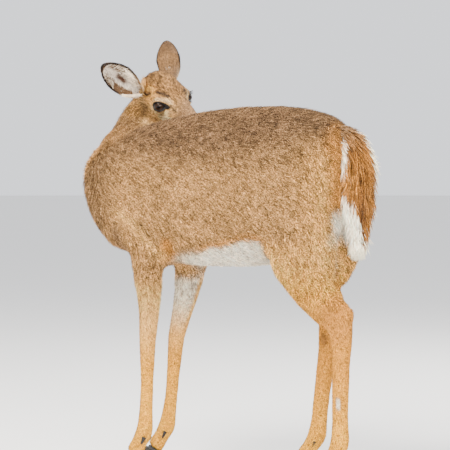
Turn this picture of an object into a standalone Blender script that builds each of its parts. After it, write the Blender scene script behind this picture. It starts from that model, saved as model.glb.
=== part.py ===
"""White-tailed deer, an adult doe in winter coat, life size, as a still model.

Metres, +Z up.  The doe faces -Y, her left side is +X, and she stands on z = 0.
Her neck curls round by her right shoulder, so that she looks back over her withers.
The flesh is shaped as one body out to the tips of the coat, and then sawn into the
parts a person would name.  Eyes, hooves, dewclaws and ears are made on their own.
"""
import math

import bmesh
import bpy
from mathutils import Matrix, Vector
from mathutils.bvhtree import BVHTree

# ---------------------------------------------------------------- driving dimensions
SAW = 0.0003                 # gap that is left between neighbouring parts
FIT = 0.0005                 # how far a part's corners keep off the bed cut for it
BODY_VOXEL = 0.0065          # grain at which the volumes are fused into one body
CORE_VOXEL = 0.009           # the same for trunk and neck alone
CORE_SOFTENING = 22          # rounds of smoothing that blend the big muscles
BODY_SOFTENING = 5
BODY_TRIANGLES = 2800        # what the fused body is thinned to before it is sawn
TAIL_TRIANGLES = 420
HEAD_DETAIL_REACH = 0.120    # the face keeps smaller triangles than the trunk
FACE_MIDDLE = Vector((0.0, -0.045, -0.020))  # in the head's own frame
FOOT_DETAIL_HEIGHT = 0.12    # and so do the feet
DETAIL_WEIGHT = 0.985        # below 1 by how much thinning spares them

STANCE_HALF = 0.074          # feet to the middle line
FORE_FOOT_Y = -0.300         # left fore fetlock
HIND_FOOT_Y = 0.281          # left hind fetlock

EYE_RADIUS = 0.0175
EYE_SEAT = Vector((0.0435, -0.004, 0.0))     # left eyeball in the head's own frame
HEAD_PLACE = Vector((-0.224, -0.396, 0.968))  # point midway between the eyes
HEAD_YAW = math.radians(162.0)
HEAD_PITCH = math.radians(24.0)
HEAD_ROLL = math.radians(-17.0)

EAR_LENGTH = 0.151
EAR_HALF_ARC = 0.0485
EAR_WALL = 0.0045
EAR_ROOTS = {"left": Vector((0.047, 0.074, 0.025)),     # in the head's own frame
             "right": Vector((-0.055, 0.078, 0.008))}

CLAW_LENGTH = 0.060
CLAW_WIDTH = 0.0225
CLAW_HEIGHT = 0.033
CLEFT = 0.003                # gap between the two claws of a foot
DEWCLAW_LENGTH = 0.022
DEWCLAW_RADIUS = 0.0068

SIDES = {"left": 1, "right": -1}

# ---------------------------------------------------------------- small helpers
for old in list(bpy.data.objects):
    bpy.data.objects.remove(old, do_unlink=True)

deer = bpy.data.collections.new("white_tailed_deer")
bpy.context.scene.collection.children.link(deer)


def material(name, color, roughness):
    """A plain Principled finish."""
    mat = bpy.data.materials.new(name)
    mat.use_nodes = True
    shader = mat.node_tree.nodes["Principled BSDF"]
    shader.inputs["Base Color"].default_value = (*color, 1.0)
    shader.inputs["Roughness"].default_value = roughness
    shader.inputs["Metallic"].default_value = 0.0
    return mat


def to_object(name, bm, collection=deer):
    """Closes a bmesh off as an object whose faces point outwards."""
    bmesh.ops.remove_doubles(bm, verts=bm.verts, dist=0.00002)
    bmesh.ops.recalc_face_normals(bm, faces=bm.faces)
    mesh = bpy.data.meshes.new(name)
    bm.to_mesh(mesh)
    bm.free()
    obj = bpy.data.objects.new(name, mesh)
    collection.objects.link(obj)
    return obj


def apply_modifiers(obj):
    """Replaces an object's mesh by what its modifiers make of it."""
    depsgraph = bpy.context.evaluated_depsgraph_get()
    mesh = bpy.data.meshes.new_from_object(obj.evaluated_get(depsgraph))
    obj.modifiers.clear()
    obj.data = mesh
    return obj


def catmull(a, b, c, d, t):
    """Smooth value between b and c, for floats and vectors alike."""
    return 0.5 * (2 * b + (c - a) * t + (2 * a - 5 * b + 4 * c - d) * t ** 2
                  + (3 * b - 3 * c + d - a) * t ** 3)


def refine(stations, steps):
    """Stations (centre, half width, half height, lean) with smooth ones between."""
    rows = []
    last = len(stations) - 1
    for i in range(last):
        four = [stations[min(max(i + k, 0), last)] for k in (-1, 0, 1, 2)]
        for s in range(steps):
            rows.append([catmull(*column, s / steps) for column in zip(*four)])
    rows.append(list(stations[-1]))
    return rows


def loft(bm, stations, up, steps=3, segments=20, power=2.2, frame=Matrix.Identity(4),
         axis=None):
    """A closed tube through sections whose top side faces the direction up.

    lean narrows a section's top when it is positive and its bottom when negative.
    The sections stand square to the tube's own run, or to an axis if one is given.
    """
    rows = refine(stations, steps)
    rings = []
    for i, (centre, half_w, half_h, lean) in enumerate(rows):
        ahead = axis or rows[min(i + 1, len(rows) - 1)][0] - rows[max(i - 1, 0)][0]
        across = up.cross(ahead).normalized()
        crest = ahead.cross(across).normalized()
        verts = bmesh.ops.create_circle(bm, segments=segments, radius=1.0)["verts"]
        for v in verts:
            c, s = v.co.x, v.co.y
            x = math.copysign(abs(c) ** (2 / power), c) * (1 - lean * s)
            y = math.copysign(abs(s) ** (2 / power), s)
            v.co = frame @ (centre + across * (x * half_w) + crest * (y * half_h))
        rings.append([e for e in {e for v in verts for e in v.link_edges}])
    for one, other in zip(rings, rings[1:]):
        bmesh.ops.bridge_loops(bm, edges=one + other)
    for end in (rings[0], rings[-1]):
        bmesh.ops.contextual_create(bm, geom=end)


def blob(bm, centre, radii, frame=Matrix.Identity(4), turn=0.0):
    """An ellipsoid of muscle; turn tips it in the side view, front end down."""
    place = (frame @ Matrix.Translation(centre) @ Matrix.Rotation(turn, 4, "X")
             @ Matrix.Diagonal((*radii, 1.0)))
    bmesh.ops.create_uvsphere(bm, u_segments=24, v_segments=14, radius=1.0, matrix=place)


def profile_stations(rows):
    """Rows (y, top, bottom, half width, lean) of a form that lies along Y."""
    return [(Vector((0.0, y, (top + bottom) / 2)), half_w, (top - bottom) / 2, lean)
            for y, top, bottom, half_w, lean in rows]


def leg_stations(side, rows):
    """Rows (x, y, z, half width, half depth) of a leg that runs downwards."""
    return [(Vector((side * x, y, z)), half_w, half_d, 0.0) for x, y, z, half_w, half_d in rows]


UP = Vector((0, 0, 1))
FORWARD = Vector((0, -1, 0))
HEAD = (Matrix.Translation(HEAD_PLACE) @ Matrix.Rotation(HEAD_YAW, 4, "Z")
        @ Matrix.Rotation(HEAD_PITCH, 4, "X") @ Matrix.Rotation(HEAD_ROLL, 4, "Y"))

# ---------------------------------------------------------------- the fused body


def add_trunk(bm):
    """Breast, ribs, loin and croup, with the shoulders and haunches on their sides."""
    loft(bm, profile_stations([
        (-0.509, 0.798, 0.708, 0.052, 0.0),
        (-0.492, 0.834, 0.650, 0.084, 0.0),
        (-0.448, 0.868, 0.588, 0.101, 0.0),
        (-0.320, 0.910, 0.535, 0.116, 0.2),
        (-0.200, 0.934, 0.526, 0.124, 0.2),
        (-0.070, 0.948, 0.524, 0.134, 0.1),
        (0.040, 0.951, 0.530, 0.136, 0.05),
        (0.130, 0.946, 0.555, 0.128, 0.05),
        (0.210, 0.929, 0.610, 0.112, 0.1),
        (0.262, 0.894, 0.665, 0.086, 0.1),
        (0.284, 0.862, 0.700, 0.058, 0.0),
    ]), UP, steps=3, segments=32, axis=-FORWARD)
    for side in SIDES.values():
        blob(bm, (side * 0.072, -0.300, 0.700), (0.052, 0.095, 0.165), turn=0.25)
        blob(bm, (side * 0.074, -0.375, 0.645), (0.040, 0.070, 0.075))
        blob(bm, (side * 0.078, 0.150, 0.740), (0.055, 0.125, 0.165), turn=-0.2)
        blob(bm, (side * 0.058, 0.205, 0.690), (0.052, 0.078, 0.150))


NECK_CREST = (HEAD.to_3x3() @ Vector((0, 0.75, 0.66))).normalized()
NECK_ROUTE = [
    (Vector((0.008, -0.290, 0.745)), 0.092, 0.145, 0.1),
    (Vector((-0.006, -0.376, 0.790)), 0.094, 0.092, 0.0),
    (Vector((-0.086, -0.452, 0.815)), 0.087, 0.084, 0.0),
    (Vector((-0.182, -0.500, 0.835)), 0.073, 0.082, 0.0),
    (Vector((-0.248, -0.512, 0.900)), 0.060, 0.071, 0.0),
    (HEAD @ Vector((0.0, 0.084, -0.050)), 0.051, 0.062, 0.0),
    (HEAD @ Vector((0.0, 0.045, -0.020)), 0.043, 0.050, 0.0),
]


def add_neck(bm):
    """Thick at the chest, curling forward, right and up to the back of the skull."""
    loft(bm, NECK_ROUTE, (UP + NECK_CREST).normalized(), steps=4, segments=24)


def add_head(bm):
    """Skull, muzzle, jaw, brows and cheeks, in the head's own frame."""
    loft(bm, profile_stations([
        (0.118, 0.030, -0.050, 0.036, 0.0),
        (0.096, 0.054, -0.080, 0.047, 0.1),
        (0.055, 0.066, -0.096, 0.053, 0.0),
        (0.010, 0.055, -0.098, 0.051, -0.15),
        (-0.028, 0.039, -0.092, 0.044, -0.15),
        (-0.062, 0.023, -0.084, 0.036, -0.05),
        (-0.098, 0.007, -0.077, 0.0315, 0.0),
        (-0.132, -0.006, -0.073, 0.0305, 0.0),
        (-0.157, -0.013, -0.070, 0.0285, 0.0),
        (-0.170, -0.022, -0.061, 0.0220, 0.0),
    ]), UP, steps=3, segments=24, frame=HEAD)
    for side in SIDES.values():
        blob(bm, (side * 0.040, -0.002, 0.014), (0.0155, 0.028, 0.017), HEAD, turn=0.3)
        blob(bm, (side * 0.030, 0.045, -0.050), (0.022, 0.046, 0.046), HEAD, turn=0.3)


def fore_leg(bm, side, swing):
    """Arm, elbow, forearm, knee, cannon, fetlock and pastern."""
    loft(bm, leg_stations(side, [
        (0.062, FORE_FOOT_Y + 0.020 + swing(0.66), 0.660, 0.045, 0.075),
        (0.070, FORE_FOOT_Y + 0.012 + swing(0.58), 0.580, 0.042, 0.064),
        (0.075, FORE_FOOT_Y + 0.010 + swing(0.52), 0.520, 0.036, 0.050),
        (0.075, FORE_FOOT_Y + 0.015 + swing(0.45), 0.450, 0.028, 0.0365),
        (0.074, FORE_FOOT_Y + 0.012 + swing(0.38), 0.380, 0.024, 0.0275),
        (0.074, FORE_FOOT_Y + 0.009 + swing(0.33), 0.330, 0.0235, 0.0235),
        (0.074, FORE_FOOT_Y + 0.008 + swing(0.29), 0.290, 0.0215, 0.0215),
        (0.074, FORE_FOOT_Y + 0.007 + swing(0.21), 0.210, 0.0165, 0.0195),
        (0.074, FORE_FOOT_Y + 0.003 + swing(0.13), 0.130, 0.0180, 0.0210),
        (0.074, FORE_FOOT_Y - 0.002 + swing(0.09), 0.088, 0.0225, 0.0245),
        (0.074, FORE_FOOT_Y - 0.018 + swing(0.06), 0.058, 0.0215, 0.0215),
        (0.074, FORE_FOOT_Y - 0.034 + swing(0.03), 0.030, 0.0235, 0.0255),
    ]), FORWARD, steps=3, segments=16)


def hind_leg(bm, side, swing):
    """Thigh, stifle, gaskin, hock, cannon, fetlock and pastern."""
    loft(bm, leg_stations(side, [
        (0.060, 0.165 + swing(0.72), 0.720, 0.045, 0.105),
        (0.070, 0.170 + swing(0.64), 0.640, 0.050, 0.108),
        (0.078, 0.176 + swing(0.57), 0.570, 0.046, 0.102),
        (0.080, 0.190 + swing(0.52), 0.522, 0.040, 0.085),
        (0.078, 0.207 + swing(0.47), 0.478, 0.033, 0.064),
        (0.076, 0.238 + swing(0.435), 0.438, 0.028, 0.052),
        (0.075, 0.272 + swing(0.40), 0.402, 0.026, 0.044),
        (0.074, 0.284 + swing(0.35), 0.350, 0.0225, 0.0315),
        (0.074, HIND_FOOT_Y + 0.002 + swing(0.30), 0.300, 0.0195, 0.0265),
        (0.074, HIND_FOOT_Y + swing(0.20), 0.200, 0.0180, 0.0245),
        (0.074, HIND_FOOT_Y + swing(0.13), 0.130, 0.0190, 0.0240),
        (0.074, HIND_FOOT_Y - 0.002 + swing(0.09), 0.088, 0.0230, 0.0265),
        (0.074, HIND_FOOT_Y - 0.018 + swing(0.06), 0.058, 0.0215, 0.0220),
        (0.074, HIND_FOOT_Y - 0.034 + swing(0.03), 0.030, 0.0235, 0.0255),
    ]), FORWARD, steps=3, segments=16)
    blob(bm, (side * 0.075, 0.300 + swing(0.41), 0.412), (0.020, 0.020, 0.030), turn=-0.35)


def fore_swing(height):
    """The right fore leg slants forward from its elbow to its foot."""
    return 0.045 * (height - 0.34) / 0.2 if height > 0.34 else 0.02 * (height - 0.34) / 0.25


def hind_swing(height):
    """The right hind leg stands further forward, by more the lower down."""
    if height > 0.62:
        return 0.0
    if height > 0.35:
        return -0.112 * (0.62 - height) / 0.27
    return -0.112 - 0.032 * (0.35 - height) / 0.27


def still(height):
    """The left legs stand where their rows say."""
    return 0.0


LEGS = {
    "fore_left": (fore_leg, 1, still, FORE_FOOT_Y),
    "fore_right": (fore_leg, -1, fore_swing, FORE_FOOT_Y),
    "hind_left": (hind_leg, 1, still, HIND_FOOT_Y),
    "hind_right": (hind_leg, -1, hind_swing, HIND_FOOT_Y),
}


def add_tail(bm):
    """A broad, flat tail that hangs close to the buttocks, turned a little to the left."""
    across = Matrix.Rotation(math.radians(-25.0), 3, "Z")
    loft(bm, [
        (Vector((0.0, 0.225, 0.880)), 0.028, 0.024, 0.0),
        (Vector((0.0, 0.262, 0.861)), 0.042, 0.027, 0.0),
        (Vector((0.0, 0.289, 0.813)), 0.053, 0.026, 0.0),
        (Vector((0.0, 0.299, 0.750)), 0.055, 0.026, 0.0),
        (Vector((0.0, 0.301, 0.680)), 0.050, 0.025, 0.0),
        (Vector((0.0, 0.298, 0.620)), 0.037, 0.020, 0.0),
        (Vector((0.0, 0.291, 0.572)), 0.019, 0.012, 0.0),
        (Vector((0.0, 0.287, 0.552)), 0.008, 0.006, 0.0),
    ], across @ Vector((0, 1, 0)), steps=3, segments=16)


def modified(obj, kind, **settings):
    """One modifier, applied at once."""
    mod = obj.modifiers.new(kind.lower(), kind)
    for key, value in settings.items():
        setattr(mod, key, value)
    return apply_modifiers(obj)


def remeshed(obj, voxel, rounds):
    """Melts the volumes of one object into one body and softens its creases."""
    remesh = obj.modifiers.new("fuse", "REMESH")
    remesh.mode = "VOXEL"
    remesh.voxel_size = voxel
    soften = obj.modifiers.new("soften", "SMOOTH")
    soften.factor = 0.5
    soften.iterations = rounds
    return apply_modifiers(obj)


def thinned(obj, triangles, **settings):
    """Fewer triangles, with the form kept."""
    count = sum(len(p.vertices) - 2 for p in obj.data.polygons)
    return modified(obj, "DECIMATE", ratio=triangles / count, **settings)


def cut_away(obj, other):
    """Takes another object's room out of this one, with the saw's gap round it."""
    cutter = bpy.data.objects.new("cutter", other.data.copy())
    bpy.context.scene.collection.objects.link(cutter)
    modified(cutter, "DISPLACE", strength=FIT, mid_level=0.0)
    modified(obj, "BOOLEAN", operation="DIFFERENCE", solver="EXACT", object=cutter)
    bpy.data.objects.remove(cutter)
    return keep_largest(obj)


def keep_largest(obj):
    """Drops the crumbs that a cut may leave."""
    bm = bmesh.new()
    bm.from_mesh(obj.data)
    loose, parts = set(bm.verts), []
    while loose:
        part, front = set(), [loose.pop()]
        while front:
            vert = front.pop()
            part.add(vert)
            for edge in vert.link_edges:
                other = edge.other_vert(vert)
                if other in loose:
                    loose.discard(other)
                    front.append(other)
        parts.append(part)
    parts.sort(key=len)
    for part in parts[:-1]:
        bmesh.ops.delete(bm, geom=list(part), context="VERTS")
    bm.to_mesh(obj.data)
    bm.free()
    return obj


def built(name, *builders):
    """One object that holds the loose volumes of several builders."""
    bm = bmesh.new()
    for build in builders:
        build(bm)
    return to_object(name, bm)


def legs(bm):
    for shape, side, swing, _ in LEGS.values():
        shape(bm, side, swing)


def joined(name, *objects):
    """Several objects as one, with their volumes still loose."""
    bm = bmesh.new()
    for obj in objects:
        bm.from_mesh(obj.data)
        bpy.data.objects.remove(obj)
    return to_object(name, bm)


# ---------------------------------------------------------------- eyes, ears and feet
def eyeball(side):
    bm = bmesh.new()
    seat = Vector((EYE_SEAT.x * side, EYE_SEAT.y, EYE_SEAT.z))
    bmesh.ops.create_icosphere(bm, subdivisions=3, radius=EYE_RADIUS,
                               matrix=HEAD @ Matrix.Translation(seat))
    return bm


def ear_outline(v):
    """Half of the ear's width along its length v, as a share of the widest."""
    return (0.80 + 0.20 * min(v / 0.35, 1.0)) * (1 - v ** 3.2) ** 0.5


def ear_frame(root, tip, mouth):
    """The ear's own +Z runs to its tip and its mouth opens to -Y."""
    along = Vector(tip).normalized()
    back = -(Vector(mouth) - along * along.dot(Vector(mouth))).normalized()
    turn = Matrix((back.cross(along), back, along)).transposed().to_4x4()
    return HEAD @ Matrix.Translation(root) @ turn


def ear(side, tip, mouth):
    """A cupped leaf: rolled to a tube at the root, open and rounded at the tip."""
    bm = bmesh.new()
    grid = bmesh.ops.create_grid(bm, x_segments=7, y_segments=9, size=1.0)["verts"]
    frame = ear_frame(EAR_ROOTS[side], tip, mouth)
    for v in grid:
        u, t = v.co.x, 1 - (1 - (v.co.y + 1) / 2) ** 1.25
        arc = EAR_HALF_ARC * max(ear_outline(t), 0.06)
        curl = math.radians(150 - 98 * min(t / 0.55, 1.0) ** 0.8)
        radius = arc / curl
        depth = radius * (math.cos(u * curl) - 0.4) - 0.012 * math.sin(math.pi * t)
        v.co = frame @ Vector((radius * math.sin(u * curl), depth,
                               EAR_LENGTH * t * (1 - 0.05 * abs(u) ** 3)))
    return modified(to_object("ear_" + side, bm), "SOLIDIFY", thickness=EAR_WALL, offset=0.0)


def claw(name, foot, side, inner):
    """Half of a hoof: flat sole, upright inner wall, toe that slopes to the coronet."""
    bm = bmesh.new()
    rows = ((0.0, 0.94, 0.0), (0.003, 1.0, 0.0), (0.014, 0.90, 0.003),
            (0.024, 0.80, 0.006), (CLAW_HEIGHT, 0.66, 0.009))
    rings = []
    for height, share, back in rows:
        verts = bmesh.ops.create_circle(bm, segments=12, radius=1.0)["verts"]
        for v in verts:
            along, out = -v.co.y, v.co.x
            narrow = 1 - 0.55 * max(along, 0.0) ** 1.6
            x = CLAW_WIDTH / 2 * out * narrow * (0.9 + 0.1 * share)
            x = max(x, -CLAW_WIDTH / 2 * 0.86)
            y = -along * CLAW_LENGTH / 2 * share + back
            fall = 0.0 if height < CLAW_HEIGHT else 0.009 * (along - 1) / 2
            v.co = foot + Vector((inner * side * -(x + CLAW_WIDTH / 2 + CLEFT / 2), y,
                                  height + fall))
        rings.append([e for e in {e for v in verts for e in v.link_edges}])
    for one, other in zip(rings, rings[1:]):
        bmesh.ops.bridge_loops(bm, edges=one + other)
    for end in (rings[0], rings[-1]):
        bmesh.ops.contextual_create(bm, geom=end)
    return to_object(name, bm)


def dewclaw(name, foot, side, inner):
    """A blunt little cone behind the fetlock, pointing down and back."""
    bm = bmesh.new()
    place = (Matrix.Translation(foot + Vector((inner * side * -0.0135, 0.052, 0.066)))
             @ Matrix.Rotation(math.radians(-28), 4, "X"))
    bmesh.ops.create_cone(bm, cap_ends=True, segments=10, radius1=DEWCLAW_RADIUS * 0.45,
                          radius2=DEWCLAW_RADIUS, depth=DEWCLAW_LENGTH, matrix=place)
    return to_object(name, bm)


core = remeshed(built("core", add_trunk, add_neck), CORE_VOXEL, CORE_SOFTENING)
body = remeshed(joined("body", core, built("fine", add_head, legs)), BODY_VOXEL, BODY_SOFTENING)
plainness = body.vertex_groups.new(name="plainness")
for vertex in body.data.vertices:
    near_head = (HEAD.inverted() @ vertex.co - FACE_MIDDLE).length < HEAD_DETAIL_REACH
    fine = near_head or vertex.co.z < FOOT_DETAIL_HEIGHT
    plainness.add([vertex.index], DETAIL_WEIGHT if fine else 1.0, "REPLACE")
thinned(body, BODY_TRIANGLES, vertex_group="plainness", vertex_group_factor=1.0)
tail = thinned(remeshed(built("tail", add_tail), BODY_VOXEL, 3), TAIL_TRIANGLES)

EARS = [
    ear("left", (0.52, 0.82, 0.25), (0.30, 0.05, -0.85)),
    ear("right", (-0.72, 0.17, 0.67), (-0.60, -0.70, 0.36)),
]
EYES = [to_object("eye_" + label, eyeball(side)) for label, side in SIDES.items()]
HORN = []
for leg, (_, side, swing, foot_y) in LEGS.items():
    foot = Vector((side * STANCE_HALF, foot_y - 0.050 + swing(0.03), 0.0))
    for label, inner in (("inner", 1), ("outer", -1)):
        HORN.append(claw(f"hoof_{leg}_{label}", foot, side, inner))
        HORN.append(dewclaw(f"dewclaw_{leg}_{label}", foot, side, inner))

for piece in EARS:
    cut_away(piece, body)
for piece in EYES + HORN + [tail]:
    cut_away(body, piece)


# ---------------------------------------------------------------- sawing the body into parts
def neck_point(share):
    """A point of the neck's middle line and the way the neck runs there."""
    rows = refine([(row[0],) for row in NECK_ROUTE], 8)
    spot = share * (len(rows) - 1)
    i = min(int(spot), len(rows) - 2)
    here = rows[i][0].lerp(rows[i + 1][0], spot - i)
    return here, (rows[i + 1][0] - rows[i][0]).normalized()


def saw(centre, normal, half_width, half_depth, side=None):
    """One thin cut through the body: a slab across the normal, of limited reach."""
    normal = Vector(normal).normalized()
    side = side or Vector((1, 0, 0) if abs(normal.x) < 0.9 else (0, 1, 0))
    depth = normal.cross(side).normalized()
    side = depth.cross(normal)
    frame = Matrix((side, depth, normal)).transposed().to_4x4()
    size = Matrix.Diagonal((2 * half_width, 2 * half_depth, SAW, 1.0))
    bm = bmesh.new()
    bmesh.ops.create_cube(bm, size=1.0, matrix=Matrix.Translation(centre) @ frame @ size)
    blade = to_object("blade", bm)
    modified(body, "BOOLEAN", operation="DIFFERENCE", solver="EXACT", object=blade)
    bpy.data.objects.remove(blade)


def in_head(x, y, z):
    """A point of the head's own frame, in the world."""
    return HEAD @ Vector((x, y, z))


head_turn = HEAD.to_3x3()
saw(in_head(0, 0.080, -0.040), head_turn @ Vector((0.35, -0.80, 0.46)), 0.150, 0.150)
head_left = head_turn @ Vector((1, 0, 0))
saw(in_head(0, -0.055, -0.030), head_turn @ Vector((0, 1, 0)), 0.070, 0.080, head_left)
saw(in_head(0, -0.055 - 0.070, -0.052), head_turn @ Vector((0, 0, 1)), 0.060, 0.070, head_left)
for share, reach in ((0.58, 0.120), (0.42, 0.125)):
    point, along = neck_point(share)
    saw(point, along, reach, reach)
saw((-0.030, -0.440, 0.780), (-0.35, -0.70, 0.62), 0.220, 0.160)
CHEST_END, BARREL_END = -0.170, 0.055
for y in (CHEST_END, BARREL_END):
    saw((0.0, y, 0.740), (0, 1, 0), 0.200, 0.260)
CROTCH = 0.605
saw((0.0, BARREL_END + 0.170, CROTCH), (0, 0, 1), 0.200, 0.170)
saw((0.0, BARREL_END + 0.170, CROTCH - 0.070), (1, 0, 0), 0.170, 0.070)
ELBOW, KNEE, FORE_FETLOCK = 0.500, 0.318, 0.112
STIFLE, HOCK, HIND_FETLOCK = 0.470, 0.362, 0.116
for leg, (_, side, swing, _) in LEGS.items():
    levels = (ELBOW, KNEE, FORE_FETLOCK) if "fore" in leg else (STIFLE, HOCK, HIND_FETLOCK)
    for z in levels:
        y = (FORE_FOOT_Y if "fore" in leg else 0.235) + swing(z)
        saw((side * 0.074, y, z), (0, 0, 1), 0.070, 0.105)

SEEDS = {
    "head": in_head(0, 0.030, 0.000),
    "muzzle": in_head(0, -0.100, -0.025),
    "lower_jaw": in_head(0, -0.090, -0.062),
    "neck_upper": in_head(0, 0.125, -0.090),
    "neck_middle": neck_point(0.53)[0],
    "neck_base": Vector((-0.040, -0.455, 0.810)),
    "chest": Vector((0.0, -0.300, 0.700)),
    "barrel": Vector((0.0, -0.060, 0.740)),
    "haunches": Vector((0.0, 0.160, 0.780)),
}
for leg, (_, side, swing, foot_y) in LEGS.items():
    x = side * 0.074
    if "fore" in leg:
        levels = {"forearm": 0.42, "cannon": 0.21, "pastern": 0.08}
    else:
        levels = {"thigh": 0.54, "shank": 0.42, "cannon": 0.21, "pastern": 0.08}
    for label, z in levels.items():
        y = foot_y + swing(z) - (0.09 if label == "thigh" else 0.02 if label == "shank" else 0.0)
        SEEDS[f"{label}_{leg}"] = Vector((x, y, z))


def loose_parts(obj):
    """The loose bodies of a mesh, each as a bmesh of its own."""
    bm = bmesh.new()
    bm.from_mesh(obj.data)
    bm.verts.ensure_lookup_table()
    owner = [-1] * len(bm.verts)
    count = 0
    for start in bm.verts:
        if owner[start.index] >= 0:
            continue
        owner[start.index] = count
        front = [start]
        while front:
            vert = front.pop()
            for edge in vert.link_edges:
                other = edge.other_vert(vert)
                if owner[other.index] < 0:
                    owner[other.index] = count
                    front.append(other)
        count += 1
    for part in range(count):
        piece = bm.copy()
        piece.verts.ensure_lookup_table()
        alien = [v for v in piece.verts if owner[v.index] != part]
        bmesh.ops.delete(piece, geom=alien, context="VERTS")
        yield piece
    bm.free()


def holds(piece, point):
    """Whether a point lies inside a closed bmesh."""
    tree = BVHTree.FromBMesh(piece)
    hits, origin = 0, point.copy()
    way = Vector((0.0123, 0.0345, 1.0)).normalized()
    while True:
        spot = tree.ray_cast(origin, way)[0]
        if spot is None:
            return hits % 2 == 1
        hits += 1
        origin = spot + way * 0.00001


for piece in loose_parts(body):
    if piece.calc_volume() < 1e-6:
        piece.free()
        continue
    names = [name for name, seed in SEEDS.items() if holds(piece, seed)]
    assert len(names) == 1, (names, [round(c, 3) for c in piece.verts[:][0].co])
    to_object(names[0], piece)
bpy.data.objects.remove(body)

# ---------------------------------------------------------------- finishes and place
FINISHES = {                 # colour and roughness
    "body_coat": ((0.30, 0.24, 0.18), 0.85),
    "rump_coat": ((0.36, 0.26, 0.16), 0.85),
    "head_coat": ((0.31, 0.25, 0.18), 0.80),
    "muzzle_coat": ((0.22, 0.18, 0.14), 0.75),
    "chin_coat": ((0.75, 0.70, 0.62), 0.80),
    "ear_coat": ((0.26, 0.22, 0.18), 0.80),
    "tail_coat": ((0.50, 0.35, 0.20), 0.85),
    "leg_coat": ((0.44, 0.31, 0.19), 0.80),
    "wet_eye": ((0.02, 0.013, 0.008), 0.10),
    "black_horn": ((0.03, 0.028, 0.026), 0.35),
}
WEARS = {                    # finish by the first word of a part's name
    "barrel": "body_coat", "chest": "body_coat", "neck": "body_coat",
    "haunches": "rump_coat", "thigh": "rump_coat", "tail": "tail_coat",
    "head": "head_coat", "muzzle": "muzzle_coat", "lower": "chin_coat", "ear": "ear_coat",
    "forearm": "leg_coat", "shank": "leg_coat", "cannon": "leg_coat", "pastern": "leg_coat",
    "eye": "wet_eye", "hoof": "black_horn", "dewclaw": "black_horn",
}
finishes = {name: material(name, *finish) for name, finish in FINISHES.items()}

corners = [vertex.co for part in deer.objects for vertex in part.data.vertices]
low, high = (Vector([pick(c[axis] for c in corners) for axis in range(3)]) for pick in (min, max))
home = Matrix.Translation((-(low.x + high.x) / 2, -(low.y + high.y) / 2, -low.z))
for part in deer.objects:
    part.data.transform(home)
    part.data.materials.clear()
    part.data.materials.append(finishes[WEARS[part.name.split("_")[0]]])
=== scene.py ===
# %% [markdown]
# # A white-tailed doe in her winter coat
# The frame holds the doe's solids: flesh sawn into parts, eyes, ears, hooves.  Their flat
# facets are right for weight and contact and wrong for the eye.  So one skin replaces the
# flesh here, and a coat of mesh tufts grows on it.  Combed strands would be quicker to make,
# but only a mesh can be exported with the rest.  Every tuft follows the lie of the hair, and
# on body, head and legs it takes its colour from the same markings as the skin under it.

# %% The frame
import math

import bmesh
import bpy
import numpy as np
from mathutils import Matrix, Vector
from mathutils.bvhtree import BVHTree


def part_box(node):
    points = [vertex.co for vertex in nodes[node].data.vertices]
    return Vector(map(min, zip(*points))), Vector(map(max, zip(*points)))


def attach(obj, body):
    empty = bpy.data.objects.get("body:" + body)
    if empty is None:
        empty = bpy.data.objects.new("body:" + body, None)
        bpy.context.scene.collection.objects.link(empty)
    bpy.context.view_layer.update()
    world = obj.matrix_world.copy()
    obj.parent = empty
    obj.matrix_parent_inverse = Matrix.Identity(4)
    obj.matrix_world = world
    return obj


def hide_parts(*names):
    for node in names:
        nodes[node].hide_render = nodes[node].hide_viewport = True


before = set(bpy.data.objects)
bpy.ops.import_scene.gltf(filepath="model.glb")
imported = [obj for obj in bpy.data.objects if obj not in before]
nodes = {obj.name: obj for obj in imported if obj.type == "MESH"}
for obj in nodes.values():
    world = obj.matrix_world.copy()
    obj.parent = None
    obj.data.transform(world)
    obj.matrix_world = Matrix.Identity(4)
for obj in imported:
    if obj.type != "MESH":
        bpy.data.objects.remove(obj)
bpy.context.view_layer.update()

rng = np.random.default_rng(11)

# %% [markdown]
# ## The doe's own directions
# The doe faces -Y and her left is +X.  Her head is turned back, so it has a frame of its own:
# -Y runs to the nose, +X to her left and +Z to the crown.  Its three turns are those of her
# pose, and the middles of the two eyeballs tell where it sits.
#
# Places are handled as tables with a row for each point, because one line of numpy then
# serves the whole skin.  In the functions below p is a table of points in the world, q the
# same points from the foot of the doe's own axes, and l the same points in the head's frame.

# %% Head frame
HEAD_YAW, HEAD_PITCH, HEAD_ROLL = (math.radians(a) for a in (162.0, 24.0, -17.0))
EYE_RADIUS = 0.0175
EYE_SEAT = Vector((0.0435, -0.004, 0.0))
head_turn = (Matrix.Rotation(HEAD_YAW, 3, "Z") @ Matrix.Rotation(HEAD_PITCH, 3, "X")
             @ Matrix.Rotation(HEAD_ROLL, 3, "Y"))


def middle(node):
    low, high = (Vector(corner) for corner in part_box(node))
    return (low + high) / 2


between_eyes = (middle("eye_left") + middle("eye_right")) / 2
head_place = between_eyes - head_turn @ Vector((0.0, EYE_SEAT.y, 0.0))
HEAD = Matrix.Translation(head_place) @ head_turn.to_4x4()
HEAD_FROM_HOME = Vector((-0.224, -0.396, 0.968))
home = head_place - HEAD_FROM_HOME        # foot of the doe's own axes, on the ground
HEAD_R, HEAD_T, HOME = np.array(head_turn), np.array(head_place), np.array(home)
print("the head sits at", tuple(round(c, 3) for c in head_place))


def to_head(p):
    """Points in the head's own frame."""
    return (p - HEAD_T) @ HEAD_R


def ramp(x, a, b):
    """Smooth step from 0 at a to 1 at b."""
    t = np.clip((x - a) / (b - a), 0.0, 1.0)
    return t * t * (3 - 2 * t)


def unit(v):
    return v / np.maximum(np.linalg.norm(v, axis=1, keepdims=True), 1e-9)


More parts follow.
